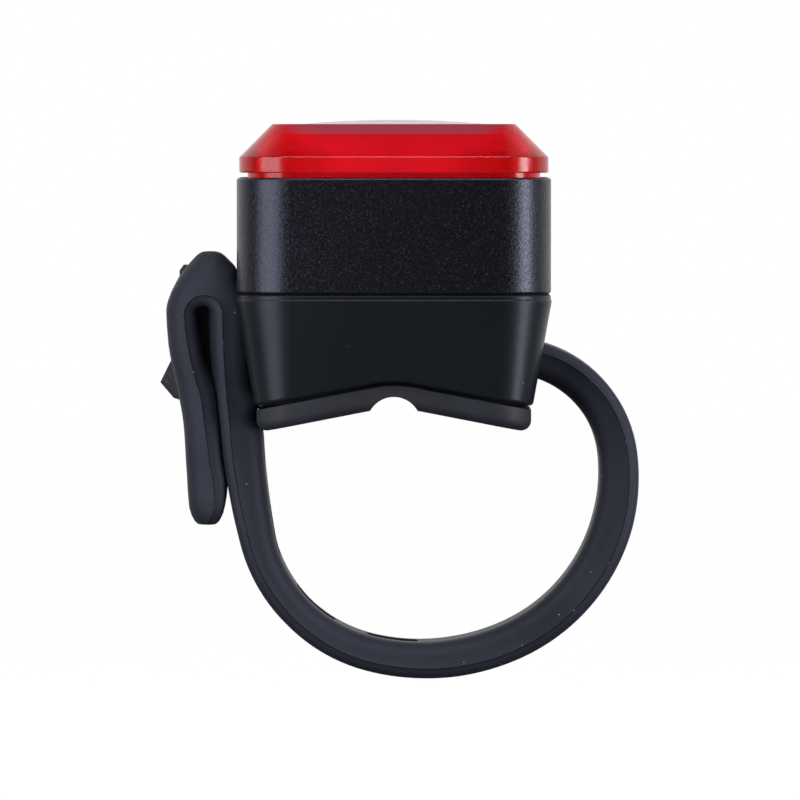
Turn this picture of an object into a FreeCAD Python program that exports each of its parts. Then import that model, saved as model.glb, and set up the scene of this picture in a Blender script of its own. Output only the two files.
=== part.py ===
import FreeCAD, Part
import math
import os
from FreeCAD import Vector

# A rechargeable rear bicycle light: a square housing with a chamfered red lens, a rubber
# saddle under it, and a silicone ladder strap that goes round the seat post and folds over a hook.
# X runs across the light, Y along the seat post, Z out through the lens, all in millimetres.
# The origin is on the axis of the seat post that the saddle is made for.

# Seat post and saddle
post_diameter = 27.2
vee_angle = 11.0
vee_apex_round = 12.0
pad_inset = 2.4
pad_corner = 4.2
pad_thickness = 2.5
pad_land_height = 0.65
pad_land_inset = 2.0
pad_relief_radius = 3.25
pad_relief_rise = 1.15
pad_edge_round = 1.2
pad_stud_radius = 1.5
pad_stud_length = 1.1
pad_stud_y = 8.0
stud_clearance = 0.05

# Housing
body_half = 19.0
body_corner = 6.5
wall = 1.8
upper_height = 14.0
seam_height = 0.6
seam_inset = 0.37
lower_lip = 0.15
lower_height = 13.05
lower_taper = 0.18
rim_height = 2.0
rim_width = 3.1
ledge_height = 1.0
ledge_width = 1.6
edge_round = 0.35
bottom_round = 0.5

# Lens
lens_inset = 0.3
skirt_height = 1.9
chamfer_size = 4.0
lens_plate = 1.6
lens_wall = 2.9
neck_inset = 1.3
neck_height = 0.6
spigot_inset = 2.0
spigot_wall = 1.2
spigot_depth = 1.5
lens_rib_place = 9.0
lens_rib_width = 1.0
lens_rib_depth = 1.4
lens_edge_round = 0.25

# Power button and its switch
button_margin = 8.0
button_crown = 0.5
button_flange = 1.0
button_flange_width = 1.0
button_clearance = 0.15
button_stem_radius = 2.0
button_stem_length = 2.7
switch_size = 6.0
switch_height = 3.2
plunger_radius = 1.6
plunger_clearance = 0.1
plunger_depth = 0.8

# Lamp board, lamps and reflector
board_thickness = 1.0
board_clearance = 0.3
lamp_count = 6
lamp_inset = 7.6
lamp_size = 2.8
lamp_height = 0.8
cup_low_radius = 2.2
cup_high_radius = 3.0
reflector_flange = 1.3
reflector_gap = 0.2
reflector_centre_radius = 6.0
seal_height = 0.8
indicator_x = 4.6
indicator_size = 0.8
driver_chip_size = 5.0
driver_chip_height = 1.0
resistor_length = 1.6
resistor_count = 6

# Cell and charging board
cell_end_gap = 5.0
cell_side_gap = 9.0
cell_height = 9.0
cell_round = 1.5
foam_height = 0.8
shelf_height = 2.6
rib_thickness = 1.4
rib_x = 6.0
charge_board_half_x = 7.0
charge_board_length = 9.8
charge_board_gap = 0.2
charge_board_drop = 4.6
charge_post_radius = 1.2
charge_chip_size = 3.0
wire_radius = 0.5
wire_bend = 1.3
lead_x = 6.0
link_x = 5.3
link_setback = 4.0
link_pitch = 1.1
link_count = 2

# Charging port and its rubber cover
port_half_width = 4.47
port_half_height = 1.6
port_shell = 0.3
port_length = 6.8
port_clearance = 0.08
tongue_half_width = 3.3
tongue_half_height = 0.35
tongue_setback = 1.5
recess_half_width = 7.0
recess_half_height = 3.5
recess_depth = 2.4
recess_back_wall = 1.6
cover_gap = 0.3
nub_half_width = 3.6
nub_half_height = 0.9
nub_depth = 1.2
tab_length = 3.2
tab_half_height = 1.6
tab_gap = 0.2
tab_depth = 1.4

# Screws from below, hidden by the saddle
screw_inset = 5.8
screw_radius = 1.0
screw_length = 15.6
screw_head_radius = 1.9
screw_head_height = 1.3
screw_clearance = 0.15
post_radius = 2.6
counterbore_depth = 3.0

# Strap band, thinner along the ladder and thickest round the far side of the post
strap_width = 18.0
fold_thickness = 4.4
ladder_thickness = 3.75
bottom_thickness = 4.5
side_thickness = 4.9
root_thickness = 4.3
ladder_distance = 38.0
bottom_distance = 58.0
side_distance = 85.0
strap_dome_round = 1.1
strap_inner_round = 1.4
dome_share = 0.4
inner_share = 0.5
strap_clearance = 0.35
section_spacing = 7.0
fold_inner_radius = 1.15
fold_drop = 2.0
fold_sweep = 100.0
hole_length = 6.3
hole_width = 7.5
hole_corner = 1.2
hole_pitch = 11.7
loop_hole_count = 5
first_hole_drop = 3.7
crown_rise = 7.5
crown_flat = 2.35
crown_shoulder = 6.0
crown_inset = 1.6
crown_chamfer = 1.6

# The loop is five tangent arcs from the anchor round to the hook side. Two of the
# radii close the loop, and these are the turns and the other three radii.
loop_start_direction = -19.0
loop_turns = (64.0, 72.0, 39.5, 62.0, 13.5)
shoulder_radius = 13.4
bottom_radius = 26.0
limb_radius = 117.0

# Strap end in the housing
anchor_inset = 4.2
anchor_drop = 6.6
pin_radius = 1.5
pin_half_length = 11.0
pin_clearance = 0.05
eye_radius = 2.75
pocket_wall = 1.8

# Strap tail past the fold: drop below the fold and drift to the right as shares of its
# length, and thickness as a share of its thickness at the top
tail_length = 23.6
tail_thickness = 3.4
tail_line = (
    (0.0, 0.0, 1.0),
    (0.1949, 0.0212, 1.0441),
    (0.3517, 0.0572, 1.0588),
    (0.5381, 0.0932, 1.1029),
    (0.7542, 0.1144, 1.1912),
    (0.8941, 0.1314, 1.3235),
    (1.0, 0.1356, 1.2647),
)
tail_end_steps = ((0.0381, 1.0294, 0.9333), (0.0805, 0.5, 0.7778))
tail_hole_start = 5.0
split_setback = 0.45
split_gap = 0.1

# Hook
hook_half_width = 2.5
hook_root_depth = 1.5
hook_stem_height = 3.0
hook_stem_drop = 6.1
hook_drop = 10.45
# The hook's outline from the prong's foot round to under the stem, measured from the fold's
# centre as shares of how far the barb drops
hook_outline = (
    (0.0957, -0.1148), (0.0909, -0.0191), (0.067, 0.067), (0.0431, 0.1244),
    (-0.0478, 0.4689), (-0.1435, 0.5742), (-0.2392, 0.5742), (-0.2871, 0.5072),
    (-0.2871, 0.3445), (-0.0909, 0.0957), (-0.0813, -0.0096), (-0.0545, -0.2392),
    (-0.0163, -0.512), (-0.3761, -0.5167), (-0.512, -0.7923), (-0.356, -0.9761),
    (-0.2804, -1.0), (0.0287, -1.0239), (0.134, -1.0239), (0.1148, -0.7943),
)
hook_heel = 1.9
hook_sole = 1.2
hook_bevel = 0.45

# Sizes that follow from the housing's
lens_half = body_half - lens_inset
lens_corner = body_corner - lens_inset
neck_half = body_half - neck_inset
spigot_half = body_half - spigot_inset
button_radius = body_half - button_margin
button_flange_radius = button_radius + button_flange_width
lamp_ring = body_half - lamp_inset
pad_half = body_half - pad_inset
screw_place = body_half - screw_inset
recess_face_y = body_half - recess_depth
charge_board_back = recess_face_y - recess_back_wall - charge_board_gap
charge_board_y = charge_board_back - charge_board_length
link_y = recess_face_y - link_setback
cell_length = 2 * (body_half - cell_end_gap)
cell_width = 2 * (body_half - cell_side_gap)
crown_half_width = strap_width / 2 - crown_inset
tail_reach = fold_inner_radius + tail_thickness / 2
beyond = 2 * body_half

# Heights that follow from the sizes above
vee_slope = math.tan(math.radians(vee_angle))
vee_cosine = math.cos(math.radians(vee_angle))
pad_apex_z = post_diameter / 2 / vee_cosine
case_apex_z = pad_apex_z + (pad_thickness + pad_land_height) / vee_cosine
lower_top_half = body_half + lower_lip
lower_bottom_half = lower_top_half - lower_taper * lower_height
case_corner_z = case_apex_z - vee_slope * lower_bottom_half
lower_top_z = case_corner_z + lower_height
upper_low_z = lower_top_z + seam_height
upper_top_z = upper_low_z + upper_height
skirt_low_z = upper_top_z + neck_height
skirt_top_z = skirt_low_z + skirt_height
lens_top_z = skirt_top_z + chamfer_size
plate_low_z = lens_top_z - lens_plate
spigot_low_z = upper_top_z - spigot_depth
rim_half = body_half - rim_width
inner_half = body_half - wall

# The lamp board sits on the ledge, and the reflector, seal and lens stack on it
flange_top_z = spigot_low_z - seal_height
board_top_z = flange_top_z - reflector_flange
board_low_z = board_top_z - board_thickness
reflector_top_z = upper_top_z - reflector_gap
switch_top_z = board_top_z + switch_height
flange_low_z = plate_low_z - button_flange
stem_low_z = flange_low_z - button_stem_length

# Shelf for the cell, and the charging board under it
shelf_z = lower_top_z - shelf_height
foam_top_z = shelf_z + foam_height
cell_top_z = foam_top_z + cell_height
charge_top_z = shelf_z - charge_board_drop + board_thickness
charge_low_z = charge_top_z - board_thickness
port_z = charge_top_z + port_half_height

# Strap: the fold's centre, the limb and the anchor pin
fold_z = lower_top_z - fold_drop
channel_top_half = body_half - 1.85
limb_x = -(channel_top_half + strap_clearance + fold_thickness / 2)
fold_x = limb_x - fold_inner_radius - fold_thickness / 2
split_x = fold_x - split_setback
crown_top_z = fold_z + crown_rise
pin_x = body_half - anchor_inset
pin_z = lower_top_z - anchor_drop
channel_half_width = strap_width / 2 + 0.6


def corner_radius(half, reference_half, reference_radius):
    return max(reference_radius - (reference_half - half), 0.4)


def rounded_outline(half_x, half_y, radius, z):
    c = math.sqrt(0.5) * radius
    edges = []
    corners = ((1, 1), (-1, 1), (-1, -1), (1, -1))
    for i, (sx, sy) in enumerate(corners):
        cx = sx * (half_x - radius)
        cy = sy * (half_y - radius)
        first = Vector(cx + sx * radius, cy, z) if i % 2 == 0 else Vector(cx, cy + sy * radius, z)
        last = Vector(cx, cy + sy * radius, z) if i % 2 == 0 else Vector(cx + sx * radius, cy, z)
        edges.append(Part.Arc(first, Vector(cx + sx * c, cy + sy * c, z), last).toShape())
        nx, ny = corners[(i + 1) % 4]
        ncx = nx * (half_x - radius)
        ncy = ny * (half_y - radius)
        ahead = Vector(ncx, ncy + ny * radius, z) if i % 2 == 0 else Vector(ncx + nx * radius, ncy, z)
        edges.append(Part.LineSegment(last, ahead).toShape())
    return Part.Wire(edges)


def slab(half_x, half_y, radius, z_low, z_high):
    face = Part.Face(rounded_outline(half_x, half_y, radius, z_low))
    return face.extrude(Vector(0, 0, z_high - z_low))


def square_slab(half, radius, z_low, z_high):
    return slab(half, half, radius, z_low, z_high)


def tapered_slab(half_low, radius_low, z_low, half_high, radius_high, z_high):
    low = rounded_outline(half_low, half_low, radius_low, z_low)
    high = rounded_outline(half_high, half_high, radius_high, z_high)
    return Part.makeLoft([low, high], True, True)


def block(x_low, x_high, y_low, y_high, z_low, z_high):
    size = (x_high - x_low, y_high - y_low, z_high - z_low)
    return Part.makeBox(size[0], size[1], size[2], Vector(x_low, y_low, z_low))


def upright(x, y, radius, z_low, z_high):
    return Part.makeCylinder(radius, z_high - z_low, Vector(x, y, z_low))


def bar(x, z, radius, half_length):
    return Part.makeCylinder(radius, 2 * half_length, Vector(x, -half_length, z), Vector(0, 1, 0))


def side_prism(points, half_width):
    corners = [Vector(x, -half_width, z) for x, z in points]
    face = Part.Face(Part.makePolygon(corners + corners[:1]))
    return face.extrude(Vector(0, 2 * half_width, 0))


def stadium(half_width, half_height, z, y_low, y_high):
    straight = half_width - half_height
    middle = block(-straight, straight, y_low, y_high, z - half_height, z + half_height)
    ends = []
    for side in (-1, 1):
        base = Vector(side * straight, y_low, z)
        ends.append(Part.makeCylinder(half_height, y_high - y_low, base, Vector(0, 1, 0)))
    return middle.multiFuse(ends).removeSplitter()


def vee_prism(apex_z, drop, half_x, half_width):
    # Everything from an inverted vee down to a level well under it.
    edge_z = apex_z - vee_slope * half_x
    low_z = edge_z - drop
    points = ((0, apex_z), (half_x, edge_z), (half_x, low_z), (-half_x, low_z), (-half_x, edge_z))
    prism = side_prism(points, half_width)
    ridge = [e for e in prism.Edges if e.BoundBox.ZMin > apex_z - 0.01]
    return prism.makeFillet(vee_apex_round, ridge)


def edges_at_level(shape, z, outer_half, tolerance=0.01):
    chosen = []
    for edge in shape.Edges:
        box = edge.BoundBox
        level = abs(box.ZMin - z) < tolerance and abs(box.ZMax - z) < tolerance
        reach = max(abs(box.XMin), abs(box.XMax), abs(box.YMin), abs(box.YMax))
        if level and abs(reach - outer_half) < tolerance:
            chosen.append(edge)
    return chosen


def mirrored_places(place):
    return [(sx * place, sy * place) for sx in (-1, 1) for sy in (-1, 1)]


# Strap path: each stretch is (start x, start z, direction, radius, turn), turning clockwise


def arc_step(direction, turn):
    # Where one arc of unit radius ends, measured from where it starts.
    start = math.radians(direction)
    end = math.radians(direction - turn)
    return math.sin(start) - math.sin(end), math.cos(end) - math.cos(start)


def wall_exit():
    reach = anchor_inset - lower_taper * anchor_drop / 2
    heading = math.radians(loop_start_direction)
    return pin_x + reach * math.cos(heading), pin_z + reach * math.sin(heading)


def loop_stretches():
    start = wall_exit()
    directions = [loop_start_direction]
    for turn in loop_turns:
        directions.append(directions[-1] - turn)
    steps = [arc_step(d, t) for d, t in zip(directions, loop_turns)]
    known = {0: shoulder_radius, 2: bottom_radius, 4: limb_radius}
    need_x = limb_x - start[0] - sum(r * steps[i][0] for i, r in known.items())
    need_z = fold_z - start[1] - sum(r * steps[i][1] for i, r in known.items())
    (ax, az), (bx, bz) = steps[1], steps[3]
    scale = ax * bz - bx * az
    radii = dict(known)
    radii[1] = (need_x * bz - bx * need_z) / scale
    radii[3] = (ax * need_z - need_x * az) / scale
    stretches = []
    x, z = start
    for i, turn in enumerate(loop_turns):
        stretches.append((x, z, directions[i], radii[i], turn))
        x += radii[i] * steps[i][0]
        z += radii[i] * steps[i][1]
    return stretches


def station(stretches, distance_from_end):
    # Point and direction on the centre line, measured back from the fold.
    left = distance_from_end
    for x, z, direction, radius, turn in reversed(stretches):
        length = radius * math.radians(turn)
        if left <= length + 0.001:
            part = turn - math.degrees(left / radius)
            dx, dz = arc_step(direction, part)
            return x + radius * dx, z + radius * dz, direction - part
        left -= length
    raise ValueError("the strap is shorter than that")


def band_section(x, z, direction, thickness):
    # Section of the band: soft corners on the loop's inside, tighter ones outside.
    heading = math.radians(direction)
    inward = Vector(math.sin(heading), 0, -math.cos(heading))
    centre = Vector(x, 0, z)

    def at(across, depth):
        return centre + Vector(0, across, 0) + inward * depth

    half = strap_width / 2
    outside = -thickness / 2
    inside = thickness / 2
    dome = min(strap_dome_round, dome_share * thickness)
    smooth = min(strap_inner_round, inner_share * thickness)
    outline = []
    corners = (
        (half, outside, dome, -1, 1),
        (half, inside, smooth, -1, -1),
        (-half, inside, smooth, 1, -1),
        (-half, outside, dome, 1, 1),
    )
    ends = []
    for i, (across, depth, radius, sy, sd) in enumerate(corners):
        cut = radius * (1 - math.sqrt(0.5))
        beside = at(across + sy * radius, depth)
        below = at(across, depth + sd * radius)
        middle = at(across + sy * cut, depth + sd * cut)
        first, last = (beside, below) if i % 2 == 0 else (below, beside)
        outline.append(Part.Arc(first, middle, last).toShape())
        ends.append((first, last))
    edges = []
    for i in range(4):
        edges.append(outline[i])
        edges.append(Part.LineSegment(ends[i][1], ends[(i + 1) % 4][0]).toShape())
    return Part.Face(Part.Wire(edges))


def thickness_at(distance, total):
    # Thickness of the band at a distance from the fold, along the loop.
    marks = (
        (0.0, fold_thickness),
        (ladder_distance, ladder_thickness),
        (bottom_distance, bottom_thickness),
        (side_distance, side_thickness),
        (total, root_thickness),
    )
    for (near, thin), (far, thick) in zip(marks, marks[1:]):
        if distance <= far + 0.001:
            return thin + (thick - thin) * (distance - near) / (far - near)
    return root_thickness


def ladder_hole(x, z, direction, length):
    depth = side_thickness * 2
    cutter = Part.makeBox(length, hole_width, depth, Vector(-length / 2, -hole_width / 2, -depth / 2))
    upright_edges = [e for e in cutter.Edges if abs(e.BoundBox.ZLength - depth) < 0.01]
    cutter = cutter.makeFillet(hole_corner, upright_edges)
    cutter.Placement = FreeCAD.Placement(Vector(x, 0, z), FreeCAD.Rotation(Vector(0, 1, 0), -direction))
    return cutter


def crown_block(points):
    # The rung is pushed out over the hook, so the fold carries a raised crown.
    crown = side_prism(points, crown_half_width)
    rims = []
    for edge in crown.Edges:
        box = edge.BoundBox
        on_side = box.YLength < 0.01 and abs(abs(box.YMin) - crown_half_width) < 0.01
        if on_side and box.ZMax > fold_z + crown_rise - crown_chamfer * 1.6:
            if box.XLength > 0.5 * crown_chamfer:
                rims.append(edge)
    return crown.makeChamfer(crown_chamfer, rims) if rims else crown


def fold_hole():
    # The hole at the fold's outer shoulder, shared by the loop and the tail.
    low = fold_z + 0.05
    high = crown_top_z + 2.0
    right = split_x + 1.2
    return block(right - 7.5, right, -hole_width / 2, hole_width / 2, low, high)


def channel_points(margin):
    # The strap's way down the left side, a little clear of the band's inner face.
    low_x, low_z, low_direction = station(loop_stretches(), fold_z - pad_apex_z + 6.0)
    inner_low = low_x + fold_thickness / 2 + margin
    inner_top = limb_x + fold_thickness / 2 + margin
    slope = (inner_low - inner_top) / (low_z - fold_z)
    top_z = lower_top_z + 0.01
    top_x = inner_top + slope * (top_z - fold_z)
    return ((-beyond, low_z), (inner_low, low_z), (top_x, top_z), (-beyond, top_z))


def channel():
    return side_prism(channel_points(strap_clearance), channel_half_width)


def fold_scoop():
    radius = fold_inner_radius + fold_thickness + strap_clearance
    return bar(fold_x, fold_z, radius, channel_half_width)


# Lens and button


def lens_cover():
    top_half = lens_half - chamfer_size
    top_corner = corner_radius(top_half, lens_half, lens_corner)
    shell = square_slab(lens_half, lens_corner, skirt_low_z, skirt_top_z)
    bevel = tapered_slab(lens_half, lens_corner, skirt_top_z, top_half, top_corner, lens_top_z)
    neck = square_slab(neck_half, corner_radius(neck_half, lens_half, lens_corner), upper_top_z, skirt_low_z)
    spigot_corner = corner_radius(spigot_half, body_half, body_corner)
    spigot = square_slab(spigot_half, spigot_corner, spigot_low_z, upper_top_z)
    shell = shell.multiFuse([bevel, neck, spigot]).removeSplitter()
    rims = edges_at_level(shell, lens_top_z, top_half) + edges_at_level(shell, skirt_top_z, lens_half)
    rims += edges_at_level(shell, skirt_low_z, lens_half)
    shell = shell.makeFillet(lens_edge_round, edges_of_arcs(shell, rims))
    cavity_half = spigot_half - spigot_wall
    cavity_corner = corner_radius(cavity_half, body_half, body_corner)
    cavity = square_slab(cavity_half, cavity_corner, spigot_low_z, skirt_top_z)
    roof_half = top_half + lens_plate - lens_wall
    roof_corner = corner_radius(roof_half, cavity_half, cavity_corner)
    roof = tapered_slab(cavity_half, cavity_corner, skirt_top_z, roof_half, roof_corner, plate_low_z)
    room = cavity.fuse(roof)
    for rib in lens_ribs(cavity_half):
        room = room.cut(rib)
    hole = upright(0, 0, button_radius + button_clearance, plate_low_z - 1, lens_top_z + 1)
    return shell.cut(room).cut(hole)


def lens_ribs(wall_half):
    # Upright ribs inside the front and back walls of the lens, over the reflector.
    ribs = []
    inner = wall_half - lens_rib_depth
    for x in (-lens_rib_place, lens_rib_place):
        low_x = x - lens_rib_width / 2
        high_x = x + lens_rib_width / 2
        ribs.append(block(low_x, high_x, -beyond, -inner, upper_top_z, lens_top_z))
        ribs.append(block(low_x, high_x, inner, beyond, upper_top_z, lens_top_z))
    return ribs


def edges_of_arcs(shape, straight_rims):
    # The corner arcs between straight rims, so that a whole rim is rounded in one go.
    levels = {(round(e.BoundBox.ZMin, 3)) for e in straight_rims}
    reach = {}
    for edge in straight_rims:
        box = edge.BoundBox
        reach[round(box.ZMin, 3)] = max(abs(box.XMin), abs(box.XMax), abs(box.YMin), abs(box.YMax))
    chosen = []
    for edge in shape.Edges:
        box = edge.BoundBox
        z = round(box.ZMin, 3)
        if abs(box.ZMax - box.ZMin) > 0.001 or z not in levels:
            continue
        if not any(abs(z - level) < 0.002 for level in levels):
            continue
        centre = Vector(box.Center.x, box.Center.y, 0)
        if max(abs(box.XMin), abs(box.XMax), abs(box.YMin), abs(box.YMax)) > reach[z] - 0.01:
            if centre.Length > reach[z] * 0.9:
                chosen.append(edge)
    return chosen


def power_button():
    disc = upright(0, 0, button_radius, flange_low_z, lens_top_z + button_crown)
    dome_radius = (button_radius ** 2 + button_crown ** 2) / (2 * button_crown)
    dome = Part.makeSphere(dome_radius, Vector(0, 0, lens_top_z + button_crown - dome_radius))
    disc = disc.common(dome)
    flange = upright(0, 0, button_flange_radius, flange_low_z, plate_low_z)
    stem = upright(0, 0, button_stem_radius, stem_low_z, flange_low_z)
    return disc.multiFuse([flange, stem]).removeSplitter()


def lens_seal():
    corner = corner_radius(spigot_half, body_half, body_corner)
    inside = spigot_half - spigot_wall
    ring = square_slab(spigot_half, corner, flange_top_z, spigot_low_z)
    inner_corner = corner_radius(inside, spigot_half, corner)
    return ring.cut(square_slab(inside, inner_corner, flange_top_z, spigot_low_z))


# Lamp board and what stands on it


def lamp_places():
    angles = [math.radians(360.0 * (i + 0.5) / lamp_count) for i in range(lamp_count)]
    return [(lamp_ring * math.cos(a), lamp_ring * math.sin(a)) for a in angles]


def reflector():
    flange_half = inner_half - reflector_gap
    flange_corner = corner_radius(flange_half, body_half, body_corner)
    body = square_slab(flange_half, flange_corner, board_top_z, flange_top_z)
    raised = spigot_half - spigot_wall - reflector_gap
    tray = square_slab(raised, corner_radius(raised, body_half, body_corner), flange_top_z, reflector_top_z)
    body = body.fuse(tray).removeSplitter()
    depth = reflector_top_z - board_top_z
    for x, y in lamp_places():
        cup = Part.makeCone(cup_low_radius, cup_high_radius, depth, Vector(x, y, board_top_z))
        body = body.cut(cup)
    return body.cut(upright(0, 0, reflector_centre_radius, board_top_z - 1, reflector_top_z + 1))


def lamp_board():
    half = inner_half - board_clearance
    return square_slab(half, corner_radius(half, body_half, body_corner), board_low_z, board_top_z)


def lamps():
    half = lamp_size / 2
    pieces = []
    for x, y in lamp_places():
        base = block(x - half, x + half, y - half, y + half, board_top_z, board_top_z + lamp_height)
        pieces.append(base)
    return Part.makeCompound(pieces)


def indicator_lamps():
    half = indicator_size / 2
    pieces = []
    for side in (-1, 1):
        x = side * indicator_x
        top_z = board_top_z + indicator_size
        pieces.append(block(x - half, x + half, -half * 2, half * 2, board_top_z, top_z))
    return Part.makeCompound(pieces)


def switch_body():
    half = switch_size / 2
    body = block(-half, half, -half, half, board_top_z, switch_top_z)
    hole_low_z = switch_top_z - plunger_depth * 2
    return body.cut(upright(0, 0, plunger_radius + plunger_clearance, hole_low_z, switch_top_z))


def switch_plunger():
    return upright(0, 0, plunger_radius, switch_top_z - plunger_depth, stem_low_z)


def driver_chip():
    half = driver_chip_size / 2
    return block(-half, half, -half, half, board_low_z - driver_chip_height, board_low_z)


def board_resistors():
    half = resistor_length / 2
    pieces = []
    for i in range(resistor_count):
        y = (i - (resistor_count - 1) / 2) * resistor_length * 1.5
        x = driver_chip_size
        low_z = board_low_z - half
        pieces.append(block(x, x + resistor_length, y - half / 2, y + half / 2, low_z, board_low_z))
    return Part.makeCompound(pieces)


# Housing


def upper_case():
    outer = square_slab(body_half, body_corner, upper_low_z, upper_top_z)
    rims = edges_at_level(outer, upper_top_z, body_half) + edges_at_level(outer, upper_low_z, body_half)
    outer = outer.makeFillet(edge_round, edges_of_arcs(outer, rims))
    inner_corner = corner_radius(inner_half, body_half, body_corner)
    ledge_half = inner_half - ledge_width
    ledge_corner = corner_radius(ledge_half, body_half, body_corner)
    rim_corner = corner_radius(rim_half, body_half, body_corner)
    well = square_slab(inner_half, inner_corner, board_low_z, upper_top_z)
    throat = square_slab(ledge_half, ledge_corner, board_low_z - ledge_height, board_low_z)
    room_top = board_low_z - ledge_height
    room = square_slab(inner_half, inner_corner, upper_low_z + rim_height, room_top)
    mouth = square_slab(rim_half, rim_corner, upper_low_z, upper_low_z + rim_height)
    for x, y in mirrored_places(screw_place):
        post = upright(x, y, post_radius, upper_low_z, room_top)
        room = room.cut(post)
        mouth = mouth.cut(post)
    case = outer.cut(well).cut(throat).cut(room).cut(mouth)
    for x, y in mirrored_places(screw_place):
        case = case.cut(upright(x, y, screw_radius, upper_low_z, upper_low_z + screw_grip()))
    return case.cut(fold_scoop())


def screw_seat_z():
    return case_apex_z - vee_slope * screw_place + counterbore_depth


def screw_grip():
    return screw_seat_z() + screw_length - upper_low_z


def case_seal():
    half = body_half - seam_inset
    ring = square_slab(half, corner_radius(half, body_half, body_corner), lower_top_z, upper_low_z)
    rim_corner = corner_radius(rim_half, body_half, body_corner)
    return ring.cut(square_slab(rim_half, rim_corner, lower_top_z, upper_low_z)).cut(fold_scoop())


def drafted_block(inset):
    # The lower case's tapered outside, or a smaller copy of it for the cavity.
    top_half = lower_top_half - inset
    depth = lower_height + 6.0
    low_half = top_half - lower_taper * depth
    corner = corner_radius(top_half, body_half, body_corner)
    low_corner = corner_radius(low_half, body_half, body_corner)
    return tapered_slab(low_half, low_corner, lower_top_z - depth, top_half, corner, lower_top_z)


def above_vee(apex_z):
    return vee_prism(apex_z, beyond, beyond, beyond)


def cavity_fillers():
    # What stays solid inside the lower case.
    floor_z = case_corner_z - 5.0
    channel_low, channel_top = channel_points(strap_clearance + wall)[1:3]
    backing = side_prism(
        ((-body_half - 5, floor_z), (channel_low[0], floor_z), (channel_top[0], channel_top[1]),
         (-body_half - 5, channel_top[1])),
        channel_half_width + wall,
    )
    socket = block(-body_half, channel_low[0] + hook_root_depth + 1.0, -hook_half_width - 1.5,
                   hook_half_width + 1.5, hook_stem_z() - 3.0, hook_stem_z() + 3.0)
    anchor_half = strap_width / 2 + strap_clearance + pocket_wall + 1.6
    anchor = block(pin_x - eye_radius - strap_clearance - pocket_wall, body_half, -anchor_half, anchor_half,
                   floor_z, shelf_z)
    port_boss = block(-recess_half_width - pocket_wall - tab_length, recess_half_width + pocket_wall,
                      recess_face_y - recess_back_wall, body_half,
                      port_z - recess_half_height - 1.0, port_z + recess_half_height + 0.6)
    ribs = [block(side * rib_x - rib_thickness / 2, side * rib_x + rib_thickness / 2, -cell_width / 2,
                  charge_board_y - 1.0, floor_z, shelf_z) for side in (-1, 1)]
    posts = [upright(x, y, post_radius, floor_z, lower_top_z) for x, y in mirrored_places(screw_place)]
    board_posts = [upright(side * (charge_board_half_x - charge_post_radius), charge_board_y + 2.0,
                           charge_post_radius, floor_z, charge_low_z) for side in (-1, 1)]
    return [backing, socket, anchor, port_boss] + ribs + posts + board_posts


def lower_case():
    outer = drafted_block(0).cut(above_vee(case_apex_z))
    rims = edges_at_level(outer, lower_top_z, lower_top_half)
    outer = outer.makeFillet(edge_round, edges_of_arcs(outer, rims))
    outer = outer.makeFillet(bottom_round, vee_rim_edges(outer))
    cavity = drafted_block(wall).cut(above_vee(case_apex_z + wall / vee_cosine))
    rim_ring = block(-beyond, beyond, -beyond, beyond, lower_top_z - rim_height, lower_top_z)
    rim_corner = corner_radius(rim_half, body_half, body_corner)
    mouth = square_slab(rim_half, rim_corner, lower_top_z - rim_height, lower_top_z)
    cavity = cavity.cut(rim_ring.cut(mouth))
    for filler in cavity_fillers():
        cavity = cavity.cut(filler)
    case = outer.cut(cavity)
    for x, y in mirrored_places(screw_place):
        seat_z = screw_seat_z()
        case = case.cut(upright(x, y, screw_radius + screw_clearance, seat_z, lower_top_z))
        case = case.cut(upright(x, y, screw_head_radius + screw_clearance, case_corner_z - 5, seat_z))
    for side in (-1, 1):
        stud = upright(0, side * pad_stud_y, pad_stud_radius + stud_clearance, case_corner_z, stud_top_z())
        case = case.cut(stud)
    case = case.cut(channel()).cut(fold_scoop())
    case = case.cut(strap_pocket()).cut(bar(pin_x, pin_z, pin_radius, pin_half_length))
    case = case.cut(hook_root())
    case = case.cut(port_recess()).cut(port_passage())
    return biggest_solid(case)


def biggest_solid(shape):
    return max(shape.Solids, key=lambda solid: solid.Volume)


def vee_rim_edges(shape):
    chosen = []
    for edge in shape.Edges:
        box = edge.BoundBox
        low = case_apex_z - vee_slope * max(abs(box.XMin), abs(box.XMax))
        on_vee = abs(box.ZMin - low) < 0.02 and box.ZMax <= case_apex_z + 0.01
        centre_line = box.XLength < 0.01 and abs(box.XMin) < 0.01
        if on_vee and not centre_line:
            chosen.append(edge)
    return chosen


def stud_top_z():
    return case_apex_z + pad_stud_length + stud_clearance


def strap_pocket():
    half = strap_width / 2 + strap_clearance
    x, z = wall_exit()
    eye = bar(pin_x, pin_z, eye_radius + strap_clearance, half)
    reach = body_half + 4.0
    depth = root_thickness / 2 + strap_clearance
    heading = math.radians(loop_start_direction)
    ahead = (math.cos(heading), math.sin(heading))
    aside = (-ahead[1] * depth, ahead[0] * depth)
    far = reach - pin_x
    points = (
        (pin_x + aside[0], pin_z + aside[1]),
        (pin_x + aside[0] + ahead[0] * far, pin_z + aside[1] + ahead[1] * far + 0.6),
        (pin_x - aside[0] + ahead[0] * far, pin_z - aside[1] + ahead[1] * far - 0.6),
        (pin_x - aside[0], pin_z - aside[1]),
    )
    return eye.fuse(side_prism(points, half))


def case_screws():
    seat_z = screw_seat_z()
    pieces = []
    for x, y in mirrored_places(screw_place):
        head = upright(x, y, screw_head_radius, seat_z - screw_head_height, seat_z)
        shank = upright(x, y, screw_radius, seat_z, seat_z + screw_length)
        pieces.append(head.fuse(shank).removeSplitter())
    return Part.makeCompound(pieces)


# Cell, charging board and wires


def foam_pad():
    half_x = cell_length / 2 - 1.0
    half_y = cell_width / 2 - 1.0
    return block(-half_x, half_x, -half_y, half_y, shelf_z, foam_top_z)


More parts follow.
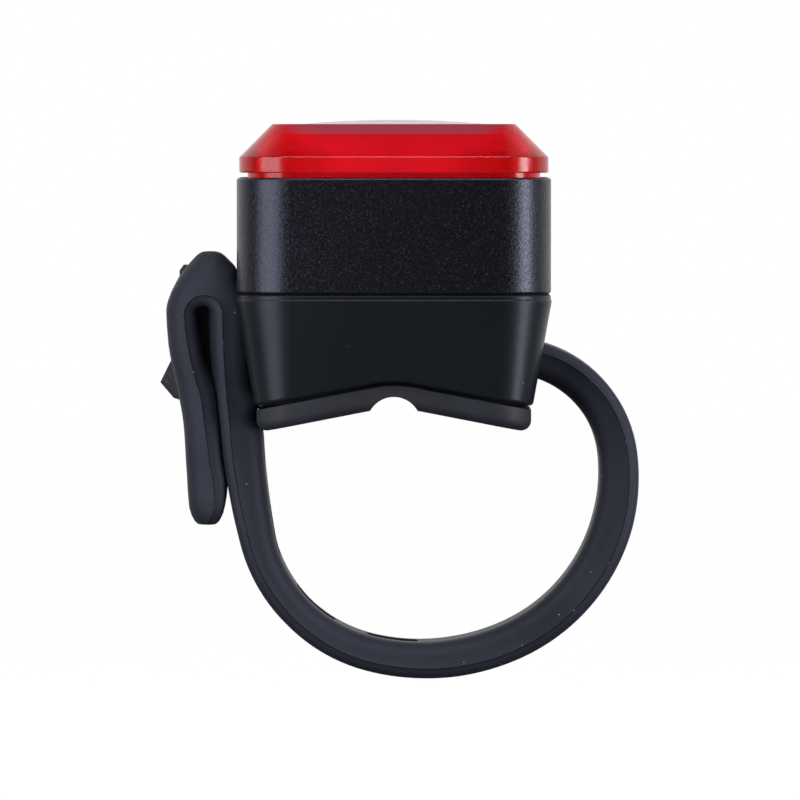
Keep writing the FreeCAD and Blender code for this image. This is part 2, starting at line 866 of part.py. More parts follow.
def battery_cell():
    cell = slab(cell_length / 2, cell_width / 2, cell_round, foam_top_z, cell_top_z)
    return cell


def charge_board():
    return block(-charge_board_half_x, charge_board_half_x, charge_board_y, charge_board_back,
                 charge_low_z, charge_top_z)


def charge_chip():
    half = charge_chip_size / 2
    y = charge_board_y + half + 0.4
    return block(-half, half, y - half, y + half, charge_top_z, charge_top_z + driver_chip_height)


def battery_leads():
    # Each lead leaves the cell's end, bends once and goes down to the charging board.
    pieces = []
    start_y = cell_width / 2
    high_z = foam_top_z + cell_height / 2
    for side in (-1, 1):
        x = side * lead_x
        centre = Vector(x, start_y, high_z - wire_bend)
        circle = Part.makeCircle(wire_radius, Vector(x, start_y, high_z), Vector(0, 1, 0))
        section = Part.Face(Part.Wire(circle))
        bend = section.revolve(centre, Vector(-1, 0, 0), 90)
        down = upright(x, start_y + wire_bend, wire_radius, charge_top_z, high_z - wire_bend)
        pieces.append(bend.fuse(down).removeSplitter())
    return Part.makeCompound(pieces)


def link_wires():
    pieces = []
    for side in (-1, 1):
        for i in range(link_count):
            x = side * (link_x + i * link_pitch)
            pieces.append(upright(x, link_y, wire_radius, charge_top_z, board_low_z))
    return Part.makeCompound(pieces)


# Charging port and cover


def port_recess():
    pocket = stadium(recess_half_width, recess_half_height, port_z, recess_face_y, body_half + 2)
    tab_x = -recess_half_width - tab_length
    tab = block(tab_x, -recess_half_width + recess_half_height, recess_face_y - tab_depth, body_half + 2,
                port_z - tab_half_height, port_z + tab_half_height)
    tab = tab.cut(block(-recess_half_width, 0, 0, recess_face_y, port_z - 5, port_z + 5))
    return pocket.fuse(tab)


def port_passage():
    half_width = port_half_width + port_clearance
    half_height = port_half_height + port_clearance
    return stadium(half_width, half_height, port_z, recess_face_y - recess_back_wall - 1, recess_face_y + 1)


def usb_shell():
    front = recess_face_y
    outer = stadium(port_half_width, port_half_height, port_z, front - port_length, front)
    bore_back = front - port_length + port_shell
    bore = stadium(port_half_width - port_shell, port_half_height - port_shell, port_z, bore_back, front)
    return outer.cut(bore)


def usb_tongue():
    front = recess_face_y - tongue_setback
    back = recess_face_y - port_length + port_shell
    return block(-tongue_half_width, tongue_half_width, back, front,
                 port_z - tongue_half_height, port_z + tongue_half_height)


def port_cover():
    half_width = recess_half_width - cover_gap
    half_height = recess_half_height - cover_gap
    plate = stadium(half_width, half_height, port_z, recess_face_y + 0.02, body_half + 2)
    plate = plate.common(drafted_block(0))
    nub = stadium(nub_half_width, nub_half_height, port_z, recess_face_y - nub_depth, recess_face_y + 0.5)
    return plate.fuse(nub).removeSplitter()


def cover_tab():
    # The anchored end of the cover, one moulding with the flap on the real light.
    half_height = tab_half_height - 0.1
    x_low = -recess_half_width - tab_length
    x_high = -recess_half_width - cover_gap - tab_gap
    tab = block(x_low, x_high, recess_face_y - tab_depth, beyond, port_z - half_height, port_z + half_height)
    return tab.common(drafted_block(0))


# Saddle


def saddle_pad():
    blank = square_slab(pad_half, pad_corner, 0, case_apex_z + 2 * wall)
    top_apex = case_apex_z - pad_land_height / vee_cosine
    pad = blank.cut(above_vee(pad_apex_z)).common(above_vee(top_apex))
    rims = []
    for edge in pad.Edges:
        box = edge.BoundBox
        low = pad_apex_z - vee_slope * max(abs(box.XMin), abs(box.XMax))
        if abs(box.ZMin - low) < 0.02 and box.ZMax <= pad_apex_z + 0.01 and abs(box.Center.x) > 1.0:
            rims.append(edge)
    pad = pad.makeFillet(pad_edge_round, rims)
    land = square_slab(pad_half - pad_land_inset, pad_corner - pad_land_inset, 0, case_apex_z + 2 * wall)
    land = land.common(above_vee(case_apex_z)).cut(above_vee(top_apex - 0.5))
    pad = pad.fuse(land)
    relief_z = pad_apex_z + pad_relief_rise - pad_relief_radius
    pad = pad.cut(bar(0, relief_z, pad_relief_radius, pad_half + 1))
    for side in (-1, 1):
        low_z = case_apex_z - pad_thickness / 2
        high_z = case_apex_z + pad_stud_length
        pad = pad.fuse(upright(0, side * pad_stud_y, pad_stud_radius, low_z, high_z))
    return biggest_solid(pad.cut(channel()).removeSplitter())


# Strap, pin and hook


def loop_band(stretches):
    total = sum(radius * math.radians(turn) for x, z, d, radius, turn in stretches)
    count = int(round(total / section_spacing))
    sections = []
    for i in range(count + 1):
        distance = total * i / count
        x, z, direction = station(stretches, distance)
        sections.append(band_section(x, z, direction, thickness_at(distance, total)).OuterWire)
    return Part.makeLoft(sections, True, False)


def strap_loop():
    stretches = loop_stretches()
    pieces = [loop_band(stretches)]
    x, z = wall_exit()
    heading = math.radians(loop_start_direction)
    back = Vector(-math.cos(heading), 0, -math.sin(heading)) * (anchor_inset - pin_radius)
    pieces.append(band_section(x, z, loop_start_direction, root_thickness).extrude(back))
    pieces.append(bar(pin_x, pin_z, eye_radius, strap_width / 2))
    middle = fold_inner_radius + fold_thickness / 2
    fold = folded_arc(middle, fold_thickness)
    fold = fold.cut(block(split_x - beyond, split_x, -beyond, beyond, fold_z - beyond, fold_z + beyond))
    pieces.append(fold)
    shoulder_x = -body_half - strap_clearance
    crown = crown_block((
        (split_x, fold_z + fold_inner_radius + 1.0),
        (shoulder_x - 1.0, fold_z + 2.0),
        (shoulder_x, fold_z + 4.0),
        (shoulder_x, fold_z + crown_shoulder),
        (split_x + crown_flat, crown_top_z),
        (split_x, crown_top_z),
    ))
    pieces.append(crown)
    band = pieces[0].multiFuse(pieces[1:])
    for i in range(loop_hole_count):
        x, z, direction = station(stretches, first_hole_drop + i * hole_pitch)
        band = band.cut(ladder_hole(x, z, direction, hole_length))
    band = band.cut(fold_hole())
    band = band.cut(bar(pin_x, pin_z, pin_radius + pin_clearance, strap_width))
    return biggest_solid(band.removeSplitter())


def folded_arc(middle_radius, thickness):
    # The band's turn over the hook, from the limb up and across to the left.
    section = band_section(fold_x + middle_radius, fold_z, 90.0, thickness)
    return section.revolve(Vector(fold_x, 0, fold_z), Vector(0, -1, 0), fold_sweep)


def tail_section(x, z, direction, thickness, width):
    # Like the band's section, and narrower where the pull tab ends.
    section = band_section(x, z, direction, thickness)
    if width < strap_width:
        grow = FreeCAD.Matrix()
        grow.scale(1, width / strap_width, 1)
        section = section.transformGeometry(grow)
    return section.Wires[0]


def tail_sections():
    found = []
    for i, (drop, drift, thickness) in enumerate(tail_line):
        before = tail_line[max(i - 1, 0)]
        after = tail_line[min(i + 1, len(tail_line) - 1)]
        lean = math.degrees(math.atan2(after[1] - before[1], after[0] - before[0]))
        direction = -90.0 if i == 0 else lean - 90.0
        x = fold_x - tail_reach + drift * tail_length
        z = fold_z - drop * tail_length
        found.append(tail_section(x, z, direction, thickness * tail_thickness, strap_width))
    return found


def strap_tail():
    sections = tail_sections()
    pieces = [Part.makeLoft(sections, True, False)]
    end_x = fold_x - tail_reach + tail_line[-1][1] * tail_length
    last = sections[-1]
    for step, thin, width in tail_end_steps:
        end_z = fold_z - (1 + step) * tail_length
        ahead = tail_section(end_x, end_z, -90.0, thin * tail_thickness, width * strap_width)
        pieces.append(Part.makeLoft([last, ahead], True, True))
        last = ahead
    turn = folded_arc(tail_reach, tail_thickness)
    mirror = turn.mirror(Vector(fold_x, 0, fold_z), Vector(1, 0, 0))
    right = split_x - split_gap
    turn = mirror.cut(block(right, right + beyond, -beyond, beyond, fold_z - beyond, fold_z + beyond))
    pieces.append(turn)
    crown = crown_block((
        (split_x - split_gap, fold_z + fold_inner_radius + 1.0),
        (split_x - split_gap, crown_top_z),
        (fold_x - 2.95, fold_z + 4.7),
        (fold_x - 4.25, fold_z + 2.1),
        (fold_x - 4.1, fold_z + 0.8),
        (fold_x - 2.4, fold_z + 1.0),
    ))
    pieces.append(crown)
    band = pieces[0].multiFuse(pieces[1:]).removeSplitter()
    hole_top = fold_z - tail_hole_start
    half = hole_width / 2
    reach = 2 * tail_thickness
    band = band.cut(block(fold_x - reach, fold_x + reach, -half, half, hole_top - hole_length, hole_top))
    return biggest_solid(band.cut(fold_hole()).removeSplitter())


def anchor_pin():
    return bar(pin_x, pin_z, pin_radius, pin_half_length)


def hook_stem_z():
    return fold_z - hook_stem_drop + hook_stem_height / 2


def hook_root():
    low = hook_stem_z() - hook_stem_height / 2
    points = channel_points(strap_clearance)
    root_x = points[1][0] + hook_root_depth
    return block(-body_half, root_x, -hook_half_width, hook_half_width, low, low + hook_stem_height)


def strap_hook():
    # Stem, upright prong behind the rung, and the barb that keeps the tail.
    low = fold_z - hook_stem_drop
    high = low + hook_stem_height
    root_x = channel_points(strap_clearance)[1][0] + hook_root_depth
    points = [(root_x, low), (root_x, high), (fold_x + hook_heel, high)]
    points += [(fold_x + x * hook_drop, fold_z + z * hook_drop) for x, z in hook_outline]
    points.append((fold_x + hook_sole, low))
    hook = side_prism(points, hook_half_width)
    return hook.makeChamfer(hook_bevel, barb_edges(hook))


def barb_edges(hook):
    # The two long outlines of the barb, outside the tail.
    chosen = []
    for edge in hook.Edges:
        box = edge.BoundBox
        outside = box.XMax < fold_x - 0.25 * hook_drop and box.ZMax < fold_z - 0.5 * hook_drop
        if outside and box.YLength < 0.01:
            chosen.append(edge)
    return chosen


PARTS = {
    "lens_cover": lens_cover,
    "power_button": power_button,
    "lens_seal": lens_seal,
    "reflector": reflector,
    "lamp_board": lamp_board,
    "lamps": lamps,
    "indicator_lamps": indicator_lamps,
    "switch_body": switch_body,
    "switch_plunger": switch_plunger,
    "driver_chip": driver_chip,
    "board_resistors": board_resistors,
    "upper_case": upper_case,
    "case_seal": case_seal,
    "lower_case": lower_case,
    "case_screws": case_screws,
    "foam_pad": foam_pad,
    "battery_cell": battery_cell,
    "battery_leads": battery_leads,
    "link_wires": link_wires,
    "charge_board": charge_board,
    "charge_chip": charge_chip,
    "usb_shell": usb_shell,
    "usb_tongue": usb_tongue,
    "port_cover": port_cover,
    "cover_tab": cover_tab,
    "saddle_pad": saddle_pad,
    "anchor_pin": anchor_pin,
    "strap_hook": strap_hook,
    "strap_loop": strap_loop,
    "strap_tail": strap_tail,
}

os.makedirs("parts", exist_ok=True)
for node, make in PARTS.items():
    shape = make()
    print(node, "solids", len(shape.Solids), "volume %.1f" % shape.Volume, "valid", shape.isValid())
    shape.exportStep("parts/%s.step" % node)
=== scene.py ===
import bmesh
import bpy
import math
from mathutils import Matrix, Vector


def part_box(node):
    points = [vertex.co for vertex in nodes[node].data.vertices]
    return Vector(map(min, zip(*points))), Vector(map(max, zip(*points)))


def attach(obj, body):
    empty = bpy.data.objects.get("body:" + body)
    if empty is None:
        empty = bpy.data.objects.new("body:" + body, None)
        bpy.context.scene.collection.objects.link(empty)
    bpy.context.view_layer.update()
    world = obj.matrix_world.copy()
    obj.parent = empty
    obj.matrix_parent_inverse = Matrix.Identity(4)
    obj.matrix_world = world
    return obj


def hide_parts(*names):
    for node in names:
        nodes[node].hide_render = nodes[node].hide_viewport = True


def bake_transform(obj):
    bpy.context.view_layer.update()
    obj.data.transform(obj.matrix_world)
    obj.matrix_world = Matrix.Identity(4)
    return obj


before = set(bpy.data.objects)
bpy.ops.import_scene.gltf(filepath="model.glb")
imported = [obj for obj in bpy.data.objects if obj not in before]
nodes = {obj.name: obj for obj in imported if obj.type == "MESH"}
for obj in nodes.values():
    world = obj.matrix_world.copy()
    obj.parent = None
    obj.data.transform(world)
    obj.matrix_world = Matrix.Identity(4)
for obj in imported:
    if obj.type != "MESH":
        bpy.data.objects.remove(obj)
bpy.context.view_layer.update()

mm = 0.001
tiny = 1e-6  # rounding errors stay below this
print("frame loaded,", len(nodes), "nodes")


# Colours and shader helpers

def linearColour(hexText):
    channels = [int(hexText[i:i + 2], 16) / 255 for i in (1, 3, 5)]
    return [c / 12.92 if c <= 0.04045 else ((c + 0.055) / 1.055) ** 2.4 for c in channels] + [1.0]


def addNode(tree, kind, settings=None, inputs=None, links=None):
    # A node with its settings and links. A link from a node is from its first output.
    node = tree.nodes.new(kind)
    for name, value in (settings or {}).items():
        setattr(node, name, value)
    for name, value in (inputs or {}).items():
        node.inputs[name].default_value = value
    for name, source in (links or {}).items():
        socket = source.outputs[0] if isinstance(source, bpy.types.Node) else source
        tree.links.new(socket, node.inputs[name])
    return node


def emptyTree(owner):
    owner.use_nodes = True
    owner.node_tree.nodes.clear()
    return owner.node_tree


def startMaterial(name, surface):
    material = bpy.data.materials.new(name)
    tree = emptyTree(material)
    shader = addNode(tree, "ShaderNodeBsdfPrincipled", inputs=surface)
    addNode(tree, "ShaderNodeOutputMaterial", links={"Surface": shader})
    place = addNode(tree, "ShaderNodeTexCoord").outputs["Object"]
    return material, tree, shader, place


def noiseScale(sizeMm):
    # The noise scale that gives features about sizeMm across.
    return 1 / (sizeMm * mm * 2)


def twoTones(tree, source, look):
    # The look's colour and its tint, in soft clouds that follow the source.
    low, high = look["cloudBand"]
    share = addNode(tree, "ShaderNodeMapRange", inputs={"From Min": low, "From Max": high},
                    links={"Value": source})
    return addNode(tree, "ShaderNodeMix", {"data_type": "RGBA"}, {
        6: linearColour(look["colour"]), 7: linearColour(look["tint"]),
    }, {0: share}).outputs[2]


def addRelief(tree, shader, source, look):
    # The same grain roughens the gloss and stands up as relief.
    low, high = look["grainBand"]
    rough = addNode(tree, "ShaderNodeMapRange", inputs={
        "From Min": low, "From Max": high,
        "To Min": look["roughness"] - look["roughSpread"], "To Max": look["roughness"] + look["roughSpread"],
    }, links={"Value": source})
    bump = addNode(tree, "ShaderNodeBump", inputs={"Strength": 1.0, "Distance": look["reliefMm"] * mm},
                   links={"Height": source})
    tree.links.new(rough.outputs[0], shader.inputs["Roughness"])
    tree.links.new(bump.outputs[0], shader.inputs["Normal"])


plasticUsual = {
    # what a look has where it says nothing else
    "specular": 0.5,
    "gloss": "#ffffff",
    "coat": 0.0,
    "coatRoughness": 0.1,
    "subsurface": 0.0,
    "subsurfaceMm": 1.5,
    "cloudDetail": 3.0,
    "cloudBand": (0.35, 0.65),
    "grainDetail": 4.0,
    "grainRoughness": 0.6,
    "grainBand": (0.3, 0.7),
    "roughSpread": 0.05,
    "speckEdge": (1.3, 0.7),
}


def plasticMaterial(name, ownLook):
    # Moulded plastic or rubber: a two-tone colour, a grain in the bump, and rubbed roughness.
    look = {**plasticUsual, **ownLook}
    material, tree, shader, place = startMaterial(name, {
        "IOR": look["ior"], "Specular IOR Level": look["specular"],
        "Specular Tint": linearColour(look["gloss"]),
        "Coat Weight": look["coat"], "Coat Roughness": look["coatRoughness"],
        "Subsurface Weight": look["subsurface"], "Subsurface Scale": look["subsurfaceMm"] * mm,
    })
    cloud = addNode(tree, "ShaderNodeTexNoise", inputs={
        "Scale": noiseScale(look["cloudMm"]), "Detail": look["cloudDetail"],
    }, links={"Vector": place})
    colour = twoTones(tree, cloud, look)
    if "dustAndGlint" in look:
        # sparse round specks: one cell in a few carries a speck at its middle; dust on most looks, and on the
        # spark-eroded ABS a painted glint on the grain's brightest pips
        cells = addNode(tree, "ShaderNodeTexVoronoi", inputs={"Scale": 1 / (look["speckMm"] * mm)},
                        links={"Vector": place})
        outer, inner = (look["speckSize"] * edge for edge in look["speckEdge"])
        near = addNode(tree, "ShaderNodeMapRange", inputs={"From Min": outer, "From Max": inner},
                       links={"Value": cells})
        chance = addNode(tree, "ShaderNodeSeparateColor", links={0: cells.outputs["Color"]})
        chosen = addNode(tree, "ShaderNodeMath", {"operation": "LESS_THAN"}, {1: look["speckPart"]},
                         {0: chance})
        speck = addNode(tree, "ShaderNodeMath", {"operation": "MULTIPLY"}, links={0: near, 1: chosen})
        colour = addNode(tree, "ShaderNodeMix", {"data_type": "RGBA"}, {7: linearColour(look["dustAndGlint"])},
                         {0: speck, 6: colour}).outputs[2]
    tree.links.new(colour, shader.inputs["Base Color"])
    fine = addNode(tree, "ShaderNodeTexNoise", inputs={
        "Scale": noiseScale(look["grainMm"]), "Detail": look["grainDetail"],
        "Roughness": look["grainRoughness"],
    }, links={"Vector": place})
    addRelief(tree, shader, fine, look)
    return material


plasticLooks = {
    # spark-eroded ABS: a fine pebbled grain that sparkles where the light grazes it.
    # The real grain is about 0.05 mm and is drawn at 0.14 mm so that it shows, and its
    # brightest pips, really a few hundredths across, are pale specks of about 0.2 mm: painted glints.
    "sparkErodedAbs": {"colour": "#060609", "tint": "#09090d", "cloudMm": 6, "grainMm": 0.14,
                       "reliefMm": 0.027, "grainDetail": 1.0, "roughness": 0.36, "roughSpread": 0.08,
                       "specular": 0.62, "ior": 1.53, "gloss": "#dde0ff",
                       "dustAndGlint": "#282b35", "speckMm": 0.36, "speckSize": 0.27, "speckPart": 0.35},
    # satin ABS: the same plastic from a vapour-blasted tool, smoother and closer in tone
    "satinAbs": {"colour": "#0e1215", "tint": "#12171a", "cloudMm": 9, "grainMm": 0.12, "reliefMm": 0.006,
                 "roughness": 0.38, "specular": 0.36, "ior": 1.53, "gloss": "#dfe1ff",
                 "dustAndGlint": "#5c6068", "speckMm": 3.0, "speckSize": 0.035, "speckPart": 0.25},
    # moulded silicone: slate black, waxy, and it holds a few specks of dust
    "mouldedSilicone": {"colour": "#292b34", "tint": "#2f313b", "cloudMm": 5, "grainMm": 0.18,
                        "reliefMm": 0.008, "roughness": 0.52, "specular": 0.26, "ior": 1.42,
                        "gloss": "#dde0ff", "dustAndGlint": "#8d919c", "speckMm": 1.4, "speckSize": 0.06,
                        "speckPart": 0.35},
    # the thin flash line where the two halves of the strap's mould met, dark and dusty
    "flashLine": {"colour": "#0c0d10", "tint": "#17181d", "cloudMm": 0.5, "grainMm": 0.18, "reliefMm": 0.02,
                  "roughness": 0.6, "specular": 0.2, "ior": 1.42, "dustAndGlint": "#7d818c", "speckMm": 0.7,
                  "speckSize": 0.16, "speckPart": 0.4},
    # moulded rubber of the saddle and the port cover: duller than the silicone
    "mouldedRubber": {"colour": "#20222a", "tint": "#272a33", "cloudMm": 4, "grainMm": 0.2, "reliefMm": 0.01,
                      "roughness": 0.6, "specular": 0.35, "ior": 1.5, "dustAndGlint": "#7a7e88", "speckMm": 2.4,
                      "speckSize": 0.04, "speckPart": 0.3},
    # nitrile seal rings: dead black, they only show as dark lines
    "nitrileRubber": {"colour": "#050506", "tint": "#08080a", "cloudMm": 4, "grainMm": 0.2, "reliefMm": 0.01,
                      "roughness": 0.7, "specular": 0.2, "ior": 1.5},
    # glass-filled nylon polished in the tool: the hook's wet-looking black
    "polishedNylon": {"colour": "#2e2f36", "tint": "#393b43", "cloudMm": 3, "grainMm": 0.3, "reliefMm": 0.006,
                      "roughness": 0.26, "ior": 1.53, "coat": 0.3},
    # frosted silicone button: milky, lets a little light through
    "frostedSilicone": {"colour": "#ecdfe4", "tint": "#f1e6ea", "cloudMm": 4, "grainMm": 0.15,
                        "reliefMm": 0.01, "roughness": 0.45, "specular": 0.4, "ior": 1.42, "subsurface": 0.4},
    # pale acetal of the switch plunger: waxy white
    "mouldedAcetal": {"colour": "#dcdad4", "tint": "#e4e2dc", "cloudMm": 2, "grainMm": 0.2, "reliefMm": 0.005,
                      "roughness": 0.4, "ior": 1.48},
    # white solder mask on a glass-fibre board
    "solderMask": {"colour": "#d9dad4", "tint": "#cfd1ca", "cloudMm": 5, "grainMm": 0.5, "reliefMm": 0.004,
                   "roughness": 0.35, "ior": 1.5},
    # epoxy chip and switch mouldings
    "mouldedEpoxy": {"colour": "#0e0e0f", "tint": "#161617", "cloudMm": 1.5, "grainMm": 0.08,
                     "reliefMm": 0.01, "roughness": 0.55, "ior": 1.55},
    # phosphor-filled lamp packages: pale yellow silicone in a white cup
    "phosphorSilicone": {"colour": "#e2cf7a", "tint": "#ecdf9d", "cloudMm": 0.8, "grainMm": 0.1,
                         "reliefMm": 0.006, "roughness": 0.3, "ior": 1.42, "subsurface": 0.2},
    # fired ceramic resistors with a dark glaze
    "glazedCeramic": {"colour": "#2a2622", "tint": "#4a443d", "cloudMm": 0.6, "grainMm": 0.1,
                      "reliefMm": 0.006, "roughness": 0.25, "ior": 1.6},
    # open-cell polyurethane foam under the cell: pitted and dead matt
    "openCellFoam": {"colour": "#2b2b2e", "tint": "#3a3a3d", "cloudMm": 0.9, "grainMm": 0.4, "reliefMm": 0.25,
                     "roughness": 0.9, "specular": 0.2, "ior": 1.45},
    # soft PVC wire insulation
    "softPvc": {"colour": "#9c1414", "tint": "#a82020", "cloudMm": 3, "grainMm": 0.3, "reliefMm": 0.004,
                "roughness": 0.35, "ior": 1.53},
}

metalUsual = {
    "streakDetail": 3.0,
    "cloudBand": (0.35, 0.65),
    "grainBand": (0.3, 0.7),
    "roughSpread": 0.06,
    "reliefMm": 0.01,
}

metalLooks = {
    # zinc-plated steel: cool grey, faint drawn lines
    "zincPlatedSteel": {"colour": "#b9bcc0", "tint": "#a4a7ab", "streakMm": (0.06, 0.06, 3.0),
                        "roughness": 0.28},
    # aluminised reflector: vapour-coated over a satin moulding, bright but blurred
    "aluminisedPlastic": {"colour": "#f2f3f4", "tint": "#e6e8ea", "streakMm": (1.5, 1.5, 1.5),
                          "roughness": 0.42},
    # laminated aluminium foil round the cell: dull silver, slightly wrinkled
    "laminatedFoil": {"colour": "#b4b6b8", "tint": "#9fa1a4", "streakMm": (2.5, 0.8, 2.5), "roughness": 0.32},
}


def metalMaterial(name, ownLook):
    # Metal: two tones, a roughness and a relief that follow the same streaks.
    look = {**metalUsual, **ownLook}
    material, tree, shader, place = startMaterial(name, {"Metallic": 1.0})
    stretch = addNode(tree, "ShaderNodeMapping", inputs={
        "Scale": [noiseScale(size) for size in look["streakMm"]],
    }, links={"Vector": place})
    streaks = addNode(tree, "ShaderNodeTexNoise", inputs={"Scale": 1.0, "Detail": look["streakDetail"]},
                      links={"Vector": stretch})
    tree.links.new(twoTones(tree, streaks, look), shader.inputs["Base Color"])
    addRelief(tree, shader, streaks, look)
    return material


lensLook = {
    "ior": 1.58,
    "specular": 0.4,
    "colour": "#ff1c2e",
    "tint": "#fb182a",
    "cloudMm": 5,
    "cloudBand": (0.3, 0.7),
    "transmission": 0.48,
    # the four corners, by distance from the middle: a deeper red, which is painted shade, and a clearer one
    "cornerMm": (19.5, 23.5),
    "corner": "#dc0c18",
    "cornerTransmission": 0.88,
    # the top plate, by height, as far out as the chamfer: a paler pink painted in as a reflection, with less
    # light let through
    "hazeMm": (46.7, 46.85),
    "hazeReach": (18.5, 21.0),
    "hazeAndReflection": "#b34552",
    "hazeTransmission": 0.45,
    # heights below which the neck and the skirt begin, and how soft that edge is
    "neckMm": 42.05,
    "neckTransmission": 0.3,
    "skirtMm": 43.9,
    "edgeMm": 0.1,
    "skirtRoughness": 0.18,
    "roughness": 0.02,
    "frostRoughness": 0.06,
    "frostMm": 0.2,
    "reliefMm": 0.012,
}


def lensMaterial(look):
    # Red polycarbonate: clear and gloss on the chamfer, finely frosted on the skirt, denser
    # in the neck, and hazed in the thick top plate, where light has most plastic to cross.
    # A deeper red is painted into the corners as shade, and a paler pink onto the top plate as a reflection.
    material, tree, shader, place = startMaterial("redPolycarbonate", {
        "IOR": look["ior"], "Specular IOR Level": look["specular"],
    })
    ways = addNode(tree, "ShaderNodeSeparateXYZ", links={0: place}).outputs
    height = ways["Z"]
    flat = addNode(tree, "ShaderNodeCombineXYZ", links={0: ways["X"], 1: ways["Y"]})
    far = addNode(tree, "ShaderNodeVectorMath", {"operation": "LENGTH"}, links={0: flat}).outputs["Value"]

    # each band runs from a value before its first place to a value after its second
    neck, skirt, edge = look["neckMm"], look["skirtMm"], look["edgeMm"]
    bands = {
        "corner": (far, look["cornerMm"], (0.0, 1.0)),
        "clear": (far, look["cornerMm"], (look["transmission"], look["cornerTransmission"])),
        "inside": (far, look["hazeReach"], (1.0, 0.0)),
        "top": (height, look["hazeMm"], (0.0, 1.0)),
        "neck": (height, (neck, neck + edge), (look["neckTransmission"], 1.0)),
        "skirt": (height, (skirt, skirt + edge), (look["skirtRoughness"], look["roughness"])),
    }
    band = {}
    for part, (source, (low, high), (before, after)) in bands.items():
        band[part] = addNode(tree, "ShaderNodeMapRange", inputs={
            "From Min": low * mm, "From Max": high * mm, "To Min": before, "To Max": after,
        }, links={"Value": source})

    cloud = addNode(tree, "ShaderNodeTexNoise", inputs={"Scale": noiseScale(look["cloudMm"])},
                    links={"Vector": place})
    hazeAndReflection = addNode(tree, "ShaderNodeMath", {"operation": "MULTIPLY"},
                   links={0: band["top"], 1: band["inside"]})
    colour = twoTones(tree, cloud, look)
    # the corners' deeper red is painted shade, and the top plate's paler pink a painted reflection
    for share, name in ((band["corner"], "corner"), (hazeAndReflection, "hazeAndReflection")):
        colour = addNode(tree, "ShaderNodeMix", {"data_type": "RGBA"}, {7: linearColour(look[name])},
                         {0: share, 6: colour}).outputs[2]
    tree.links.new(colour, shader.inputs["Base Color"])

    passes = addNode(tree, "ShaderNodeMapRange", inputs={"To Min": 1.0, "To Max": look["hazeTransmission"]},
                     links={"Value": hazeAndReflection})
    through = addNode(tree, "ShaderNodeMath", {"operation": "MULTIPLY"}, links={0: band["clear"], 1: passes})
    through = addNode(tree, "ShaderNodeMath", {"operation": "MULTIPLY"}, links={0: through, 1: band["neck"]})
    tree.links.new(through.outputs[0], shader.inputs["Transmission Weight"])

    frost = addNode(tree, "ShaderNodeTexNoise", inputs={"Scale": noiseScale(look["frostMm"])},
                    links={"Vector": place})
    rough = addNode(tree, "ShaderNodeMath", {"operation": "MULTIPLY_ADD"}, {1: look["frostRoughness"]},
                    {0: frost, 2: band["skirt"]})
    bump = addNode(tree, "ShaderNodeBump", inputs={"Strength": 1.0, "Distance": look["reliefMm"] * mm},
                   links={"Height": frost})
    tree.links.new(rough.outputs[0], shader.inputs["Roughness"])
    tree.links.new(bump.outputs[0], shader.inputs["Normal"])
    return material


materials = {name: plasticMaterial(name, look) for name, look in plasticLooks.items()}
materials.update({name: metalMaterial(name, look) for name, look in metalLooks.items()})
materials["redPolycarbonate"] = lensMaterial(lensLook)

nodeFinish = {
    "lens_cover": "redPolycarbonate", "power_button": "frostedSilicone", "lens_seal": "nitrileRubber",
    "reflector": "aluminisedPlastic", "lamp_board": "solderMask", "lamps": "phosphorSilicone",
    "indicator_lamps": "phosphorSilicone", "switch_body": "mouldedEpoxy", "switch_plunger": "mouldedAcetal",
    "driver_chip": "mouldedEpoxy", "board_resistors": "glazedCeramic", "upper_case": "sparkErodedAbs",
    "case_seal": "nitrileRubber", "lower_case": "satinAbs", "case_screws": "zincPlatedSteel",
    "foam_pad": "openCellFoam", "battery_cell": "laminatedFoil", "battery_leads": "softPvc",
    "link_wires": "softPvc", "charge_board": "solderMask", "charge_chip": "mouldedEpoxy",
    "usb_shell": "zincPlatedSteel", "usb_tongue": "mouldedEpoxy", "port_cover": "mouldedRubber",
    "cover_tab": "mouldedRubber", "saddle_pad": "mouldedRubber", "anchor_pin": "zincPlatedSteel",
    "strap_hook": "polishedNylon", "strap_loop": "mouldedSilicone", "strap_tail": "mouldedSilicone",
}


def finishNodes():
    for name, finish in nodeFinish.items():
        slots = nodes[name].data.materials
        slots.clear()
        slots.append(materials[finish])


finishNodes()
print("materials assigned")


# Helpers for the scene's own pieces

def between(first, second, share):
    return first + (second - first) * share


def eased(value, low, high):
    # 0 before low, 1 after high, and a smooth rise from one to the other.
    share = min(max((value - low) / (high - low), 0.0), 1.0)
    return share * share * (3 - 2 * share)


def alongBand(marks, distance):
    # The value at a distance, from a list of (distance, value) marks.
    for (near, first), (far, second) in zip(marks, marks[1:]):
        if distance <= far:
            return first + (second - first) * (distance - near) / (far - near)
    return marks[-1][1]


def addObject(name, data):
    added = bpy.data.objects.new(name, data)
    bpy.context.scene.collection.objects.link(added)
    return added


def pieceFrom(name, bm, *finishes):
    mesh = bpy.data.meshes.new(name)
    bm.to_mesh(mesh)
    bm.free()
    for finish in finishes:
        mesh.materials.append(materials[finish])
    return addObject(name, mesh)


def plainMesh(piece):
    # The evaluated shape as a mesh of its own, with the modifiers gone.
    graph = bpy.context.evaluated_depsgraph_get()
    mesh = bpy.data.meshes.new_from_object(piece.evaluated_get(graph), depsgraph=graph)
    piece.modifiers.clear()
    piece.data = mesh
    return piece


def smoothFaces(piece, sharpFrom=35.0):
    piece.data.shade_smooth()
    piece.data.set_sharp_from_angle(angle=math.radians(sharpFrom))


def joinRings(bm, rings, closed, finishOf=None):
    # Skins a row of rings. closed joins the last ring to the first; otherwise the ends are capped.
    count = len(rings[0])
    pairs = list(zip(rings, rings[1:]))
    if closed:
        pairs.append((rings[-1], rings[0]))
    for a, b in pairs:
        for i in range(count):
            k = (i + 1) % count
            face = bm.faces.new((a[i], a[k], b[k], b[i]))
            face.material_index = finishOf(i) if finishOf else 0
    if not closed:
        bm.faces.new(rings[0])
        bm.faces.new(rings[-1])
    bmesh.ops.recalc_face_normals(bm, faces=bm.faces)


# Strap: its centre line, its section and its ladder holes

